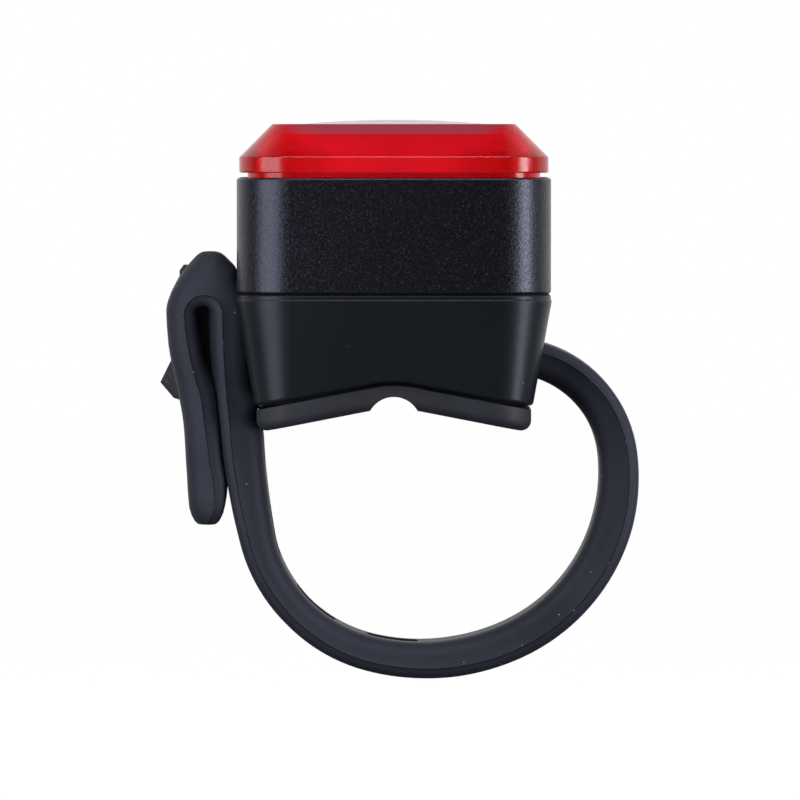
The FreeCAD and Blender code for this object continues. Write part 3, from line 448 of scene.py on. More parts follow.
strap = {
    "width": 18.0,
    # edge rounds on the face that the hook pushes out and on the other, and the sides' lean
    "domeRound": 1.1,
    "smoothRound": 1.9,
    "draft": 0.6,
    # the loop's five arcs, from the housing's right side; thickness by distance from the fold
    "startDirection": -19.0,
    "turns": (64.0, 72.0, 39.5, 62.0, 13.5),
    "radii": {0: 13.4, 2: 26.0, 4: 117.0},
    "thickness": ((0.0, 4.4), (38.0, 3.75), (58.0, 4.5), (85.0, 4.9), (110.0, 4.3)),
    "step": 0.9,
    "limbX": -19.7,
    # how much fuller the band is than that thickness, on its outer side and on its inner side
    # beside the housing's lower edge and the saddle, by distance from the fold
    "outerFill": ((0.0, 0.0), (13.0, 0.0), (18.0, 0.22), (24.0, 0.28), (32.0, 0.22), (45.0, 0.1),
                  (54.0, 0.0)),
    "innerFill": ((0.0, 0.0), (9.4, 0.0), (10.2, 0.5), (11.1, 1.02), (12.1, 0.26), (13.4, 0.2), (14.0, 0.4),
                  (14.8, 0.85), (17.5, 0.64), (20.0, 0.49), (22.4, 0.36), (29.0, 0.0), (110.0, 0.0)),
    "foldRadius": 1.15,
    "foldDrop": 2.0,
    "foldThickness": ((0.0, 4.4), (0.5, 3.85), (1.0, 3.4)),
    "foldSteps": 60,
    # how far the soft tail is pressed over, the gap left where it rests on the limb, and the
    # drops where that contact starts, is full, fades and ends
    "press": 0.2,
    "contact": 0.06,
    "contactSpan": (6.5, 10.5, 19.6, 23.4),
    # the swell round the hook: how high, where it fades across the strap, in degrees round the
    # fold, and down the tail
    "swell": 0.5,
    "tailSwell": 0.3,
    "swellReach": (6.2, 7.9),
    "limbSwellFold": (10.0, 75.0),
    "tailSwellFold": (120.0, 175.0),
    "tailSwellEnd": (6.5, 10.0),
    # the limb's own edge round, and the distances where it passes into smoothRound
    "limbRound": 2.1,
    "limbEnd": (22.0, 30.0),
    "pinToWall": 4.2,
    "wallLean": 0.18,
    "leadIn": (2.1, 1.2, 0.4),
    # the ladder's holes, from the first one under the fold
    "holes": 5,
    "firstHole": 3.7,
    "pitch": 11.7,
    "holeLength": 6.3,
    "holeWidth": 7.5,
    "holeCorner": 1.2,
    "holeCornerSteps": 5,
    "cutDepth": 12.0,
    # the hook's hole in the fold: how far it reaches left, right, down and up from the fold's centre
    "foldHole": {"left": 7.0, "right": 0.75, "low": 0.05, "high": 9.5},
    "sharpFrom": 42.0,
}

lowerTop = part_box("lower_case")[1].z / mm
foldZ = lowerTop - strap["foldDrop"]
foldX = strap["limbX"] - strap["foldRadius"] - strap["thickness"][0][1] / 2
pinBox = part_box("anchor_pin")
pinCentre = ((pinBox[0].x + pinBox[1].x) / 2 / mm, (pinBox[0].z + pinBox[1].z) / 2 / mm)


def arcStep(direction, turn):
    # How far an arc of radius 1 goes, in x and z, from a heading and for a turn.
    start, end = math.radians(direction), math.radians(direction - turn)
    return math.sin(start) - math.sin(end), math.cos(end) - math.cos(start)


def loopArcs(exitPoint):
    # Five tangent arcs; the second and fourth radii are the ones that close the loop.
    directions = [strap["startDirection"]]
    for turn in strap["turns"]:
        directions.append(directions[-1] - turn)
    steps = [arcStep(d, t) for d, t in zip(directions, strap["turns"])]
    radii = dict(strap["radii"])
    needX = strap["limbX"] - exitPoint[0] - sum(r * steps[i][0] for i, r in radii.items())
    needZ = foldZ - exitPoint[1] - sum(r * steps[i][1] for i, r in radii.items())
    (ax, az), (bx, bz) = steps[1], steps[3]
    scale = ax * bz - bx * az
    radii[1] = (needX * bz - bx * needZ) / scale
    radii[3] = (ax * needZ - needX * az) / scale
    return [(directions[i], radii[i], turn) for i, turn in enumerate(strap["turns"])]


def loopStations(exitPoint):
    # Stations from the housing's side round to the hook side: point, inward normal, thickness.
    arcs = loopArcs(exitPoint)
    total = sum(radius * math.radians(turn) for d, radius, turn in arcs)
    x, z = exitPoint
    walked = 0.0
    stations = []
    for direction, radius, turn in arcs:
        length = radius * math.radians(turn)
        count = max(int(length / strap["step"]), 3)
        for i in range(count):
            part = turn * i / count
            dx, dz = arcStep(direction, part)
            heading = math.radians(direction - part)
            distance = total - walked - length * i / count
            inner, outer = (alongBand(strap[side], distance) for side in ("innerFill", "outerFill"))
            inward = (math.sin(heading), -math.cos(heading))
            shift = (inner - outer) / 2
            past = eased(distance, *strap["limbEnd"])
            stations.append({
                "centre": (x + radius * dx + inward[0] * shift, z + radius * dz + inward[1] * shift),
                "inward": inward,
                "thickness": alongBand(strap["thickness"], distance) + inner + outer,
                "smooth": between(strap["limbRound"], strap["smoothRound"], past),
                "distance": distance,
            })
        dx, dz = arcStep(direction, turn)
        x, z = x + radius * dx, z + radius * dz
        walked += length
    stations.append({"centre": (x, z), "inward": (1.0, 0.0), "thickness": alongBand(strap["thickness"], 0),
                     "smooth": strap["limbRound"], "distance": 0.0})
    return stations


crown = {
    # the rung pushed out over the hook, as seen from the side, measured from the fold's centre
    "outline": ((5.55, 0.0), (5.15, 2.1), (4.1, 3.85), (3.95, 4.6), (3.9, 5.6), (1.85, 7.6), (-0.1, 7.6),
                (-0.75, 7.35), (-1.95, 6.0), (-2.95, 4.75), (-4.2, 2.3), (-4.55, 0.0)),
    "cornerCut": 0.45,
    "cutMost": 0.25,
    "smoothing": 2,
    # across the strap: flat in the middle, down to nothing at the edge, partly on a straight slope
    "flatHalf": 5.4,
    "edgeHalf": 8.8,
    "straightPart": 0.6,
}


def smoothedOutline(points, rounds):
    # Each round cuts every corner off in a smaller step.
    points = [Vector(p) for p in points]
    for i in range(rounds):
        cut = [points[0]]
        for a, b in zip(points, points[1:]):
            share = min(crown["cornerCut"] / 2 ** i / (b - a).length, crown["cutMost"])
            cut += [a.lerp(b, share), a.lerp(b, 1 - share)]
        points = cut + [points[-1]]
    return points


def crownReach(outline, angle):
    # How far the crown's outline stands from the fold's centre at an angle.
    ray = Vector((math.cos(angle), math.sin(angle)))
    across = Vector((-ray.y, ray.x))
    hair = tiny * mm
    reaches = [0.0]
    for a, b in zip(outline, outline[1:]):
        da, db = a.dot(across), b.dot(across)
        if (da <= hair <= db or db <= hair <= da or abs(da) < hair) and da != db:
            reaches.append(a.lerp(b, da / (da - db)).dot(ray))
    return max(reaches)


def foldStations():
    # Half a turn from the limb over to the tail, which is a little nearer in.
    outline = smoothedOutline(crown["outline"], crown["smoothing"])
    stations = []
    for i in range(strap["foldSteps"] + 1):
        share = i / strap["foldSteps"]
        angle = math.pi * share
        radial = (math.cos(angle), math.sin(angle))
        pressed = strap["press"] * share
        thickness = alongBand(strap["foldThickness"], share) + pressed
        reach = strap["foldRadius"] - pressed + thickness / 2
        ring = reach + thickness / 2
        inside = 0 < i < strap["foldSteps"]
        limbSwell = strap["swell"] * (1 - eased(math.degrees(angle), *strap["limbSwellFold"]))
        tailSwell = strap["tailSwell"] * eased(math.degrees(angle), *strap["tailSwellFold"])
        stations.append({
            "centre": (foldX + reach * radial[0], foldZ + reach * radial[1]),
            "inward": radial,
            "thickness": thickness,
            "rise": max(crownReach(outline, angle) - ring, 0.0) if inside else 0.0,
            "smooth": between(strap["limbRound"], strap["smoothRound"], share),
            "dome": strap["domeRound"] + pressed,
            "swell": limbSwell + tailSwell,
        })
    return stations


tail = {
    # drop below the fold, centre from the fold, thickness, width
    "line": ((0.0, -2.85, 3.4, 18.0), (2.3, -2.68, 3.45, 18.0), (4.6, -2.35, 3.55, 18.0),
             (8.3, -1.5, 3.6, 18.0), (12.7, -0.65, 3.75, 18.0), (17.8, -0.15, 4.05, 18.0),
             (21.1, 0.25, 4.45, 18.0), (23.4, 0.35, 4.25, 17.9), (24.4, 0.37, 3.7, 17.3),
             (25.05, 0.38, 3.0, 16.5), (25.42, 0.38, 2.2, 15.5), (25.5, 0.38, 1.3, 14.2)),
    "step": 0.9,
    "roundedEnd": 4,  # the last stations, which don't lean
    "holeTop": 5.0,
    "cutLeft": 8.0,
    "cutRight": 4.0,
}


def hermite(a, b, before, after, share):
    # A smooth curve through a and b, headed as their neighbours say.
    tangentA, tangentB = (b - before) / 2, (after - a) / 2
    s2, s3 = share * share, share ** 3
    fromA = (2 * s3 - 3 * s2 + 1) * a + (s3 - 2 * s2 + share) * tangentA
    return fromA + (-2 * s3 + 3 * s2) * b + (s3 - s2) * tangentB


def limbFace(loop, drop):
    # Where the limb's left face stands at a drop below the fold.
    z = foldZ - drop
    for a, b in zip(loop[::-1], loop[-2::-1]):
        if b["centre"][1] <= z <= a["centre"][1] + tiny:
            share = (a["centre"][1] - z) / (a["centre"][1] - b["centre"][1])
            x = between(a["centre"][0], b["centre"][0], share)
            return x - between(a["thickness"], b["thickness"], share) / 2


def pressedTail(station, loop):
    # The soft tail rests against the limb, so its face is carried out to it there.
    start, full, leave, end = strap["contactSpan"]
    drop = station["drop"]
    face = station["centre"][0] + station["thickness"] / 2
    gap = max(limbFace(loop, drop) - strap["contact"] - face, 0.0)
    rest = eased(drop, start, full) * (1 - eased(drop, leave, end))
    extra = strap["press"] * (1 - eased(drop, full, leave)) * (1 - rest) + gap * rest
    station["thickness"] += extra
    station["swell"] = strap["tailSwell"] * (1 - eased(drop, *strap["tailSwellEnd"]))
    station["dome"] = strap["domeRound"] + extra
    station["centre"] = (station["centre"][0] + extra / 2, station["centre"][1])
    return station


def tailStations(loop):
    # The tail's stations, on a smooth curve through the points of its line.
    line = tail["line"]
    points = []
    for i in range(len(line) - 1):
        before = line[max(i - 1, 0)]
        after = line[min(i + 2, len(line) - 1)]
        count = max(int((line[i + 1][0] - line[i][0]) / tail["step"]), 1)
        for k in range(count):
            share = k / count
            drop = between(line[i][0], line[i + 1][0], share)
            rest = [hermite(line[i][j], line[i + 1][j], before[j], after[j], share) for j in (1, 2, 3)]
            points.append((drop, *rest))
    points.append(line[-1])
    stations = []
    for i, (drop, offset, thickness, width) in enumerate(points):
        a, b = points[max(i - 1, 0)], points[min(i + 1, len(points) - 1)]
        leans = 0 < i < len(points) - tail["roundedEnd"]
        lean = math.atan2(b[1] - a[1], b[0] - a[0]) if leans else 0.0
        stations.append({
            "centre": (foldX + offset, foldZ - drop),
            "inward": (-math.cos(lean), -math.sin(lean)),
            "thickness": thickness,
            "width": width,
            "drop": drop,
        })
    return [pressedTail(station, loop) for station in stations]


def swellLimb(loop, lower):
    # The limb swells a little round the hook, as far as the tail leaves room.
    drops = [(s["drop"], s["centre"][0] + s["thickness"] / 2) for s in lower]
    for station in loop:
        drop = foldZ - station["centre"][1]
        if station["distance"] > strap["contactSpan"][2] or drop < 0:
            continue
        face = station["centre"][0] - station["thickness"] / 2
        for (near, a), (far, b) in zip(drops, drops[1:]):
            if near <= drop <= far:
                gap = face - (a + (b - a) * (drop - near) / (far - near))
                station["swell"] = min(max(gap - 2 * strap["contact"], 0.0), strap["swell"])
    loop[-1]["swell"] = strap["swell"]


bandSection = {
    "faceStations": (0.0, 1.25, 2.5, 3.75, 4.6, 5.2, 5.45, 5.7, 6.2, 6.8),
    "roundSteps": 5,
    "squeezeFrom": 5.2,
    "squeezeMargin": 0.1,
    "partingWidth": 0.13,
    "partingHeight": 0.05,
    # the largest rounds, as parts of the thickness
    "domeMost": 0.4,
    "smoothMost": 0.48,
}


def sectionPoints(station):
    # One ring of (across, depth) pairs; depth grows from the dome side to the smooth side.
    half = station.get("width", strap["width"]) / 2
    thickness = station["thickness"]
    dome = min(station.get("dome", strap["domeRound"]), bandSection["domeMost"] * thickness)
    smooth = min(station.get("smooth", strap["smoothRound"]), bandSection["smoothMost"] * thickness)
    scale = half / (strap["width"] / 2)
    inner = [a * scale for a in bandSection["faceStations"]]
    steps = bandSection["roundSteps"]
    low, high = -thickness / 2, thickness / 2
    quarter = [math.radians(90 * i / steps) for i in range(steps + 1)]
    side = [(a, low) for a in inner]
    side += [(half - dome + dome * math.sin(t), low + dome - dome * math.cos(t)) for t in quarter]
    line, height = bandSection["partingWidth"], bandSection["partingHeight"]
    side += [(half + height, low + dome + line / 2), (half, low + dome + line)]
    # past the parting line the side leans in, as the mould's draft, and then rounds over
    start = low + dome + line
    for t in quarter:
        depth = high - smooth + smooth * math.sin(t)
        lean = strap["draft"] * max(depth - start, 0.0) / (high - start)
        side.append((half - lean - smooth + smooth * math.cos(t), depth))
    turn, last = bandSection["squeezeFrom"] * scale, inner[-1]
    limit = min(last, half - strap["draft"] - smooth - bandSection["squeezeMargin"])
    narrowed = [a if a <= turn else turn + (a - turn) * (limit - turn) / (last - turn) for a in inner]
    side += [(a, high) for a in reversed(narrowed)]
    mirrored = [(-a, d) for a, d in reversed(side) if a > tiny]
    return side + mirrored


def crownShare(across):
    # How much of the crown's rise is left at a distance across the strap.
    flat, edge, straight = crown["flatHalf"], crown["edgeHalf"], crown["straightPart"]
    t = min(max((edge - abs(across)) / (edge - flat), 0.0), 1.0)
    return straight * t + (1 - straight) * t * t * (3 - 2 * t)


def bandMesh(name, stations):
    # The band as a skin over its stations, with the flash line on both sides.
    bm = bmesh.new()
    rings = []
    for station in stations:
        cx, cz = station["centre"]
        nx, nz = station["inward"]
        rise = station.get("rise", 0.0)
        swell = station.get("swell", 0.0)
        half = station["thickness"] / 2
        ring = []
        for across, depth in sectionPoints(station):
            lift = rise * crownShare(across) * max(depth, 0.0) / half
            lift -= swell * (1 - eased(abs(across), *strap["swellReach"])) * max(-depth, 0.0) / half
            reach = depth + lift
            ring.append(bm.verts.new(((cx + nx * reach) * mm, across * mm, (cz + nz * reach) * mm)))
        rings.append(ring)
    count = len(rings[0])
    first = len(bandSection["faceStations"]) + bandSection["roundSteps"]
    flash = (first, first + 1, count - first - 2, count - first - 1)
    joinRings(bm, rings, False, lambda i: 1 if i in flash else 0)
    return pieceFrom(name, bm, "mouldedSilicone", "flashLine")


def boxCutter(name, low, high):
    # A block between two corners, given in mm.
    bm = bmesh.new()
    bmesh.ops.create_cube(bm, size=1.0)
    middle = [(a + b) / 2 * mm for a, b in zip(low, high)]
    size = [(b - a) * mm for a, b in zip(low, high)]
    for vert in bm.verts:
        vert.co = Vector([m + c * s for m, c, s in zip(middle, vert.co, size)])
    return pieceFrom(name, bm)


def ladderTree():
    # Places one rounded cutter at each ladder hole, walking the band's centre line.
    tree = bpy.data.node_groups.new("ladderHoles", "GeometryNodeTree")
    sockets = {}
    tree.interface.new_socket("Geometry", in_out="INPUT", socket_type="NodeSocketGeometry")
    for label in ("First Hole", "Pitch", "Hole Length", "Hole Width", "Hole Corner", "Depth"):
        socket = tree.interface.new_socket(label, in_out="INPUT", socket_type="NodeSocketFloat")
        sockets[label] = socket.identifier
    count = tree.interface.new_socket("Count", in_out="INPUT", socket_type="NodeSocketInt")
    sockets["Count"] = count.identifier
    tree.interface.new_socket("Geometry", in_out="OUTPUT", socket_type="NodeSocketGeometry")
    given = addNode(tree, "NodeGroupInput").outputs

    # a point on the centre line for each hole, and the way the line runs there
    line = addNode(tree, "GeometryNodeMeshToCurve", links={"Mesh": given["Geometry"]})
    spots = addNode(tree, "GeometryNodePoints", links={"Count": given["Count"]})
    walk = addNode(tree, "ShaderNodeMath", {"operation": "MULTIPLY_ADD"}, links={
        0: addNode(tree, "GeometryNodeInputIndex"), 1: given["Pitch"], 2: given["First Hole"],
    })
    sample = addNode(tree, "GeometryNodeSampleCurve", {"mode": "LENGTH"},
                     links={"Curves": line, "Length": walk})
    put = addNode(tree, "GeometryNodeSetPosition",
                  links={"Geometry": spots, "Position": sample.outputs["Position"]})
    turn = addNode(tree, "FunctionNodeAlignRotationToVector", {"axis": "X", "pivot_axis": "Y"},
                   links={"Vector": sample.outputs["Tangent"]})

    # the cutter: a rounded rectangle drawn out to a closed block, with the line at mid depth
    outline = addNode(tree, "GeometryNodeCurvePrimitiveQuadrilateral",
                      links={"Width": given["Hole Length"], "Height": given["Hole Width"]})
    rounded = addNode(tree, "GeometryNodeFilletCurve", {"mode": "POLY"}, {"Count": strap["holeCornerSteps"]},
                      {"Curve": outline, "Radius": given["Hole Corner"]})
    filled = addNode(tree, "GeometryNodeFillCurve", {"mode": "NGONS"}, links={"Curve": rounded})
    block = addNode(tree, "GeometryNodeExtrudeMesh", {"mode": "FACES"}, {"Individual": False},
                    {"Mesh": filled, "Offset Scale": given["Depth"]})
    bottom = addNode(tree, "GeometryNodeFlipFaces", links={"Mesh": filled})
    joined = addNode(tree, "GeometryNodeJoinGeometry")
    for part in (bottom, block):
        tree.links.new(part.outputs[0], joined.inputs[0])
    merged = addNode(tree, "GeometryNodeMergeByDistance", inputs={"Distance": tiny},
                     links={"Geometry": joined})
    sink = addNode(tree, "ShaderNodeMath", {"operation": "MULTIPLY"}, {1: -0.5}, {0: given["Depth"]})
    down = addNode(tree, "ShaderNodeCombineXYZ", links={"Z": sink})
    centred = addNode(tree, "GeometryNodeTransform", links={"Geometry": merged, "Translation": down})

    placed = addNode(tree, "GeometryNodeInstanceOnPoints",
                     links={"Points": put, "Instance": centred, "Rotation": turn})
    real = addNode(tree, "GeometryNodeRealizeInstances", links={"Geometry": placed})
    painted = addNode(tree, "GeometryNodeSetMaterial", inputs={"Material": materials["mouldedSilicone"]},
                      links={"Geometry": real})
    addNode(tree, "NodeGroupOutput", links={0: painted})
    return tree, sockets


def ladderCutters(stations):
    # One mesh with all the cutters, from the centre line's points.
    mesh = bpy.data.meshes.new("ladderLine")
    points = [(s["centre"][0] * mm, 0.0, s["centre"][1] * mm) for s in stations]
    mesh.from_pydata(points, [(i, i + 1) for i in range(len(points) - 1)], [])
    line = addObject("ladderLine", mesh)
    tree, sockets = ladderTree()
    change = line.modifiers.new("ladderHoles", "NODES")
    change.node_group = tree
    sizes = {
        "First Hole": strap["firstHole"] * mm, "Pitch": strap["pitch"] * mm,
        "Hole Length": strap["holeLength"] * mm, "Hole Width": strap["holeWidth"] * mm,
        "Hole Corner": strap["holeCorner"] * mm, "Depth": strap["cutDepth"] * mm,
        "Count": strap["holes"],
    }
    for label, value in sizes.items():
        change[sockets[label]] = value
    return plainMesh(line)


def cutAway(piece, cutter):
    change = piece.modifiers.new("cut", "BOOLEAN")
    change.operation = "DIFFERENCE"
    change.solver = "EXACT"
    change.object = cutter
    plainMesh(piece)
    bpy.data.objects.remove(cutter)


def finishBand(piece):
    smoothFaces(piece, strap["sharpFrom"])


def strapExit():
    # Where the centre line leaves the housing's leaning right wall.
    drop = lowerTop - pinCentre[1]
    reach = strap["pinToWall"] - strap["wallLean"] * drop / 2
    heading = math.radians(strap["startDirection"])
    return pinCentre[0] + reach * math.cos(heading), pinCentre[1] + reach * math.sin(heading)


def leadIn(exitPoint):
    # From inside the eye out to the wall.
    heading = math.radians(strap["startDirection"])
    stations = []
    for reach in strap["leadIn"]:
        stations.append({
            "centre": (exitPoint[0] - math.cos(heading) * reach, exitPoint[1] - math.sin(heading) * reach),
            "inward": (math.sin(heading), -math.cos(heading)),
            "thickness": strap["thickness"][-1][1],
        })
    return stations


eye = {
    "radius": 2.75,
    "pinHole": 1.55,
    "chamfer": 0.6,
    "steps": 48,
}


def buildEye():
    # The thick end that the pin passes through, as a ring along the strap's width.
    x, z = pinCentre
    half = strap["width"] / 2
    outer, hole, cut = eye["radius"], eye["pinHole"], eye["chamfer"]
    profile = ((hole, -half), (outer - cut, -half), (outer, -half + cut),
               (outer, half - cut), (outer - cut, half), (hole, half))
    bm = bmesh.new()
    rings = []
    for i in range(eye["steps"]):
        turn = 2 * math.pi * i / eye["steps"]
        rings.append([bm.verts.new(((x + r * math.cos(turn)) * mm, y * mm, (z + r * math.sin(turn)) * mm))
                      for r, y in profile])
    joinRings(bm, rings, True)
    return pieceFrom("strapEye", bm, "mouldedSilicone")


def buildStrap():
    exitPoint = strapExit()
    loop = loopStations(exitPoint)
    lowerLine = tailStations(loop)
    swellLimb(loop, lowerLine)
    halfHole = strap["holeWidth"] / 2

    band = bandMesh("strapLoop", leadIn(exitPoint) + loop)
    cutAway(band, ladderCutters(list(reversed(loop))))
    finishBand(band)
    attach(band, "case")
    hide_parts("strap_loop")

    thickEnd = buildEye()
    finishBand(thickEnd)
    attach(thickEnd, "case")
    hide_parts("strap_loop")

    fold = bandMesh("strapFold", foldStations())
    hole = strap["foldHole"]
    cutAway(fold, boxCutter("foldCutter", (foldX - hole["left"], -halfHole, foldZ + hole["low"]),
                            (foldX + hole["right"], halfHole, foldZ + hole["high"])))
    finishBand(fold)
    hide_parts("strap_loop", "strap_tail")
    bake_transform(fold)

    lower = bandMesh("strapTail", lowerLine)
    top = foldZ - tail["holeTop"]
    cutAway(lower, boxCutter("tailCutter", (foldX - tail["cutLeft"], -halfHole, top - strap["holeLength"]),
                             (foldX + tail["cutRight"], halfHole, top)))
    finishBand(lower)
    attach(lower, "tail")
    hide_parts("strap_tail")


buildStrap()
print("strap built")


# Rubber pieces, as copies of their nodes with moulded edges

softPieces = (
    # node, piece, finish, slot, body, edge round in mm
    ("port_cover", "portCover", "mouldedRubber", "seal_rubber", "cover", 0.25),
    ("cover_tab", "coverTab", "mouldedRubber", "seal_rubber", "case", 0.15),
    ("case_seal", "caseSeal", "nitrileRubber", "seal_rubber", "case", 0.08),
    ("lens_seal", "lensSeal", "nitrileRubber", "seal_rubber", "case", 0.1),
    ("foam_pad", "foamPad", "openCellFoam", "foam", "case", 0.15),
)

copying = {
    "mergeMm": 0.001,
    # in degrees: faces flatter than the first are joined, and edges sharper than the second rounded
    "flatWithin": 0.5,
    "edgeFrom": 50.0,
    "edgeSteps": 3,
}

saddle = {
    "edgeRound": 0.15,
    "edgeFrom": 60.0,
    "veeAngle": 11.0,
    # the upper face is found by its height at the outer edge, and raised
    "outerBand": 0.5,
    "faceDepth": 0.02,
    "topRaise": 0.2,
    # the ridge is rounded, so the face lies up to ridgeDip lower near it
    "ridgeHalf": 2.6,
    "ridgeDip": 0.3,
    # the land on that face, apart from its studs, reaches further out, down the slope
    "landHeight": 0.3,
    "landFrom": 6.0,
    "landReach": 1.75,
}


def copyNode(node, name, finish):
    bm = bmesh.new()
    bm.from_mesh(nodes[node].data)
    bmesh.ops.remove_doubles(bm, verts=bm.verts, dist=copying["mergeMm"] * mm)
    bmesh.ops.dissolve_limit(bm, angle_limit=math.radians(copying["flatWithin"]),
                             verts=bm.verts, edges=bm.edges)
    return pieceFrom(name, bm, finish)


def roundEdges(piece, radiusMm, edgeFrom):
    change = piece.modifiers.new("moulded edges", "BEVEL")
    change.width = radiusMm * mm
    change.segments = copying["edgeSteps"]
    change.limit_method = "ANGLE"
    change.angle_limit = math.radians(edgeFrom)
    smoothFaces(plainMesh(piece))


def settle(piece, node, body):
    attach(piece, body)
    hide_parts(node)


def buildSoftPieces():
    for node, name, finish, slotName, body, radiusMm in softPieces:
        piece = copyNode(node, name, finish)
        roundEdges(piece, radiusMm, copying["edgeFrom"])
        settle(piece, node, body)


def buildSaddle():
    # The saddle's own upper face stands closer to the housing than the plain solid's does.
    piece = copyNode("saddle_pad", "saddlePad", "mouldedRubber")
    slope = math.tan(math.radians(saddle["veeAngle"]))
    places = [vert.co for vert in piece.data.vertices]
    rim = max(place.x for place in places) - saddle["outerBand"] * mm
    level = max(place.z + slope * abs(place.x) for place in places if abs(place.x) > rim)
    for place in places:
        over = place.z + slope * abs(place.x) - level
        nearRidge = abs(place.x) < saddle["ridgeHalf"] * mm
        depth = saddle["ridgeDip"] if nearRidge else saddle["faceDepth"]
        if over > saddle["landHeight"] * mm:
            if abs(place.x) > saddle["landFrom"] * mm:
                place.x += math.copysign(saddle["landReach"] * mm, place.x)
                place.z -= slope * saddle["landReach"] * mm
        elif over > -depth * mm:
            place.z += saddle["topRaise"] * mm
    roundEdges(piece, saddle["edgeRound"], saddle["edgeFrom"])
    settle(piece, "saddle_pad", "case")


buildSoftPieces()
buildSaddle()
print("rubber pieces built")


# The bright lip that stands up round the lower housing's rim, just under the dark seam

lip = {
    # half the housing's width at the rim, height above it and drop below it, depth inwards
    "half": 18.98,
    "corner": 6.5,
    "height": 0.37,
    "drop": 0.3,
    "depth": 0.28,
    "round": 0.09,
    "roundSteps": 3,
    "cornerSteps": 14,
    "gapHalf": 10.6,
}


def lipPath():
    # Round the housing from one side of the strap's channel to the other.
    half, radius = lip["half"], lip["corner"]
    points = [((-half, -lip["gapHalf"]), (-1.0, 0.0))]
    for sx, sy, start in ((-1, -1, 180), (1, -1, 270), (1, 1, 0), (-1, 1, 90)):
        for i in range(lip["cornerSteps"] + 1):
            angle = math.radians(start + 90 * i / lip["cornerSteps"])
            out = (math.cos(angle), math.sin(angle))
            centre = (sx * (half - radius), sy * (half - radius))
            points.append(((centre[0] + out[0] * radius, centre[1] + out[1] * radius), out))
    points.append(((-half, lip["gapHalf"]), (-1.0, 0.0)))
    return points


def buildLip():
    depth, height, edge = lip["depth"], lip["height"], lip["round"]
    quarter = [math.radians(90 * k / lip["roundSteps"]) for k in range(1, lip["roundSteps"] + 1)]
    section = [(depth, -lip["drop"]), (0.0, -lip["drop"]), (0.0, height - edge)]
    section += [(edge - edge * math.cos(t), height - edge + edge * math.sin(t)) for t in quarter]
    section.append((depth, height))
    bm = bmesh.new()
    rings = []
    for (x, y), (nx, ny) in lipPath():
        rings.append([bm.verts.new(((x - nx * inward) * mm, (y - ny * inward) * mm, (lowerTop + up) * mm))
                      for inward, up in section])
    joinRings(bm, rings, False)
    piece = pieceFrom("caseLip", bm, "satinAbs")
    smoothFaces(piece)
    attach(piece, "case")


buildLip()
print("rim lip built")


# Studio, light and camera

studio = {
    "white": "#ffffff",
    "floorZ": -45.0,
    "floorSize": 6.0,
    # the paper as the camera sees it, and as it lights the object
    "paper": "#5c5c5c",
    "paperGlow": 0.97,
    "dimPaper": "#707070",
    # the room is dark in front of the light and bright behind it, as with a lit backdrop
    "worldWhite": 1.0,
    "worldFront": 0.01,
    "worldBack": 0.6,
    "worldSpan": (0.0, 0.8),
    # how far back gloss starts to show the white, in the paper and in the room
    "paperBack": (0.02, 0.4),
    "glossyBack": (0.0, 0.75),
    # in mm, as seen from in front
    "sensorWidth": 36.0,
    "cameraAim": (0.74, 14.36),
    "cameraDistance": 1950.0,
    "cameraElevation": 1.0,
    "cameraClip": (0.05, 20.0),
    "frameWidth": 97.34,
    # name, place, width and height, power, and the point it looks at
    "lamps": (
        ("leftStrip", (-0.06, -0.061, 0.033), (0.055, 0.13), 0.068, (0, 0, 0.02)),
        ("rightStrip", (0.13, -0.075, 0.03), (0.045, 0.2), 0.23, (0, 0, 0.015)),
        ("highFill", (0.15, -0.65, 1.35), (0.9, 0.9), 8.0, (0, 0, 0)),
    ),
}


def whiteForCamera(tree, dimSource, whiteSource, back, span):
    # Camera and glass rays see plain white, glossy rays see it behind the light, and the
    # light that falls on the object comes from the real surface.
    low, high = span
    behind = addNode(tree, "ShaderNodeMapRange", inputs={"From Min": low, "From Max": high},
                     links={"Value": back})
    path = addNode(tree, "ShaderNodeLightPath").outputs
    glossy = addNode(tree, "ShaderNodeMath", {"operation": "MULTIPLY"},
                     links={0: path["Is Glossy Ray"], 1: behind})
    seen = addNode(tree, "ShaderNodeMath", {"operation": "MAXIMUM"},
                   links={0: path["Is Camera Ray"], 1: path["Is Transmission Ray"]})
    either = addNode(tree, "ShaderNodeMath", {"operation": "MAXIMUM"}, links={0: seen, 1: glossy})
    return addNode(tree, "ShaderNodeMixShader", links={0: either, 1: dimSource, 2: whiteSource})


def buildWorld():
    world = bpy.data.worlds.new("studioWorld")
    bpy.context.scene.world = world
    tree = emptyTree(world)
    towards = addNode(tree, "ShaderNodeTexCoord").outputs["Generated"]
    back = addNode(tree, "ShaderNodeSeparateXYZ", links={0: towards}).outputs["Y"]
    low, high = studio["worldSpan"]
    strength = addNode(tree, "ShaderNodeMapRange", inputs={
        "From Min": low, "From Max": high, "To Min": studio["worldFront"], "To Max": studio["worldBack"],
    }, links={"Value": back})
    white = linearColour(studio["white"])
    room = addNode(tree, "ShaderNodeBackground", inputs={"Color": white}, links={"Strength": strength})
    backdrop = addNode(tree, "ShaderNodeBackground", inputs={
        "Color": white, "Strength": studio["worldWhite"],
    })
    both = whiteForCamera(tree, room, backdrop, back, studio["glossyBack"])
    addNode(tree, "ShaderNodeOutputWorld", links={"Surface": both})


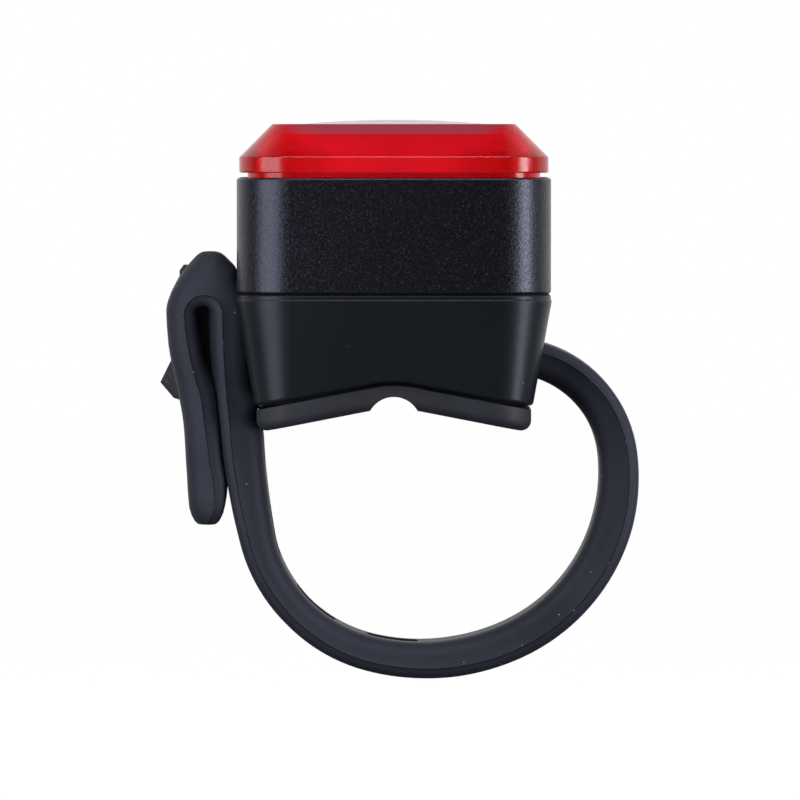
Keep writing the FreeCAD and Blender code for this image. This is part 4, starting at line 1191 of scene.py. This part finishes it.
def paperMaterial():
    # Matt white background paper: it glows as white as the backdrop and keeps the shadow.
    material = bpy.data.materials.new("whitePaper")
    tree = emptyTree(material)
    dim = addNode(tree, "ShaderNodeBsdfDiffuse", inputs={"Color": linearColour(studio["dimPaper"])})
    paper = addNode(tree, "ShaderNodeBsdfDiffuse", inputs={"Color": linearColour(studio["paper"])})
    glow = addNode(tree, "ShaderNodeEmission", inputs={
        "Color": linearColour(studio["white"]), "Strength": studio["paperGlow"],
    })
    lit = addNode(tree, "ShaderNodeAddShader", links={0: paper, 1: glow})
    place = addNode(tree, "ShaderNodeTexCoord").outputs["Object"]
    back = addNode(tree, "ShaderNodeSeparateXYZ", links={0: place}).outputs["Y"]
    both = whiteForCamera(tree, dim, lit, back, studio["paperBack"])
    addNode(tree, "ShaderNodeOutputMaterial", links={"Surface": both})
    return material


def buildFloor():
    half, z = studio["floorSize"] / 2, studio["floorZ"] * mm
    corners = [(-half, -half, z), (half, -half, z), (half, half, z), (-half, half, z)]
    mesh = bpy.data.meshes.new("floor")
    mesh.from_pydata(corners, [], [(0, 1, 2, 3)])
    mesh.materials.append(paperMaterial())
    addObject("floor", mesh)


def buildLamps():
    for name, at, size, power, aim in studio["lamps"]:
        data = bpy.data.lights.new(name, "AREA")
        data.shape = "RECTANGLE"
        data.size, data.size_y = size
        data.energy = power
        light = addObject(name, data)
        light.location = at
        light.rotation_euler = (Vector(aim) - Vector(at)).to_track_quat("-Z", "Y").to_euler()
        light.visible_camera = False


def buildCamera():
    camera = bpy.data.cameras.new("photoCamera")
    camera.sensor_width = studio["sensorWidth"]
    camera.lens = camera.sensor_width * studio["cameraDistance"] / studio["frameWidth"]
    camera.clip_start, camera.clip_end = studio["cameraClip"]
    holder = addObject("photoCamera", camera)
    rise = math.radians(studio["cameraElevation"])
    x, z = studio["cameraAim"]
    away = studio["cameraDistance"]
    holder.location = (x * mm, -away * math.cos(rise) * mm, (z + away * math.sin(rise)) * mm)
    holder.rotation_euler = (math.radians(90) - rise, 0, 0)
    bpy.context.scene.camera = holder


buildWorld()
buildFloor()
buildLamps()
buildCamera()
bpy.context.scene.view_settings.view_transform = "Standard"
print("studio built")
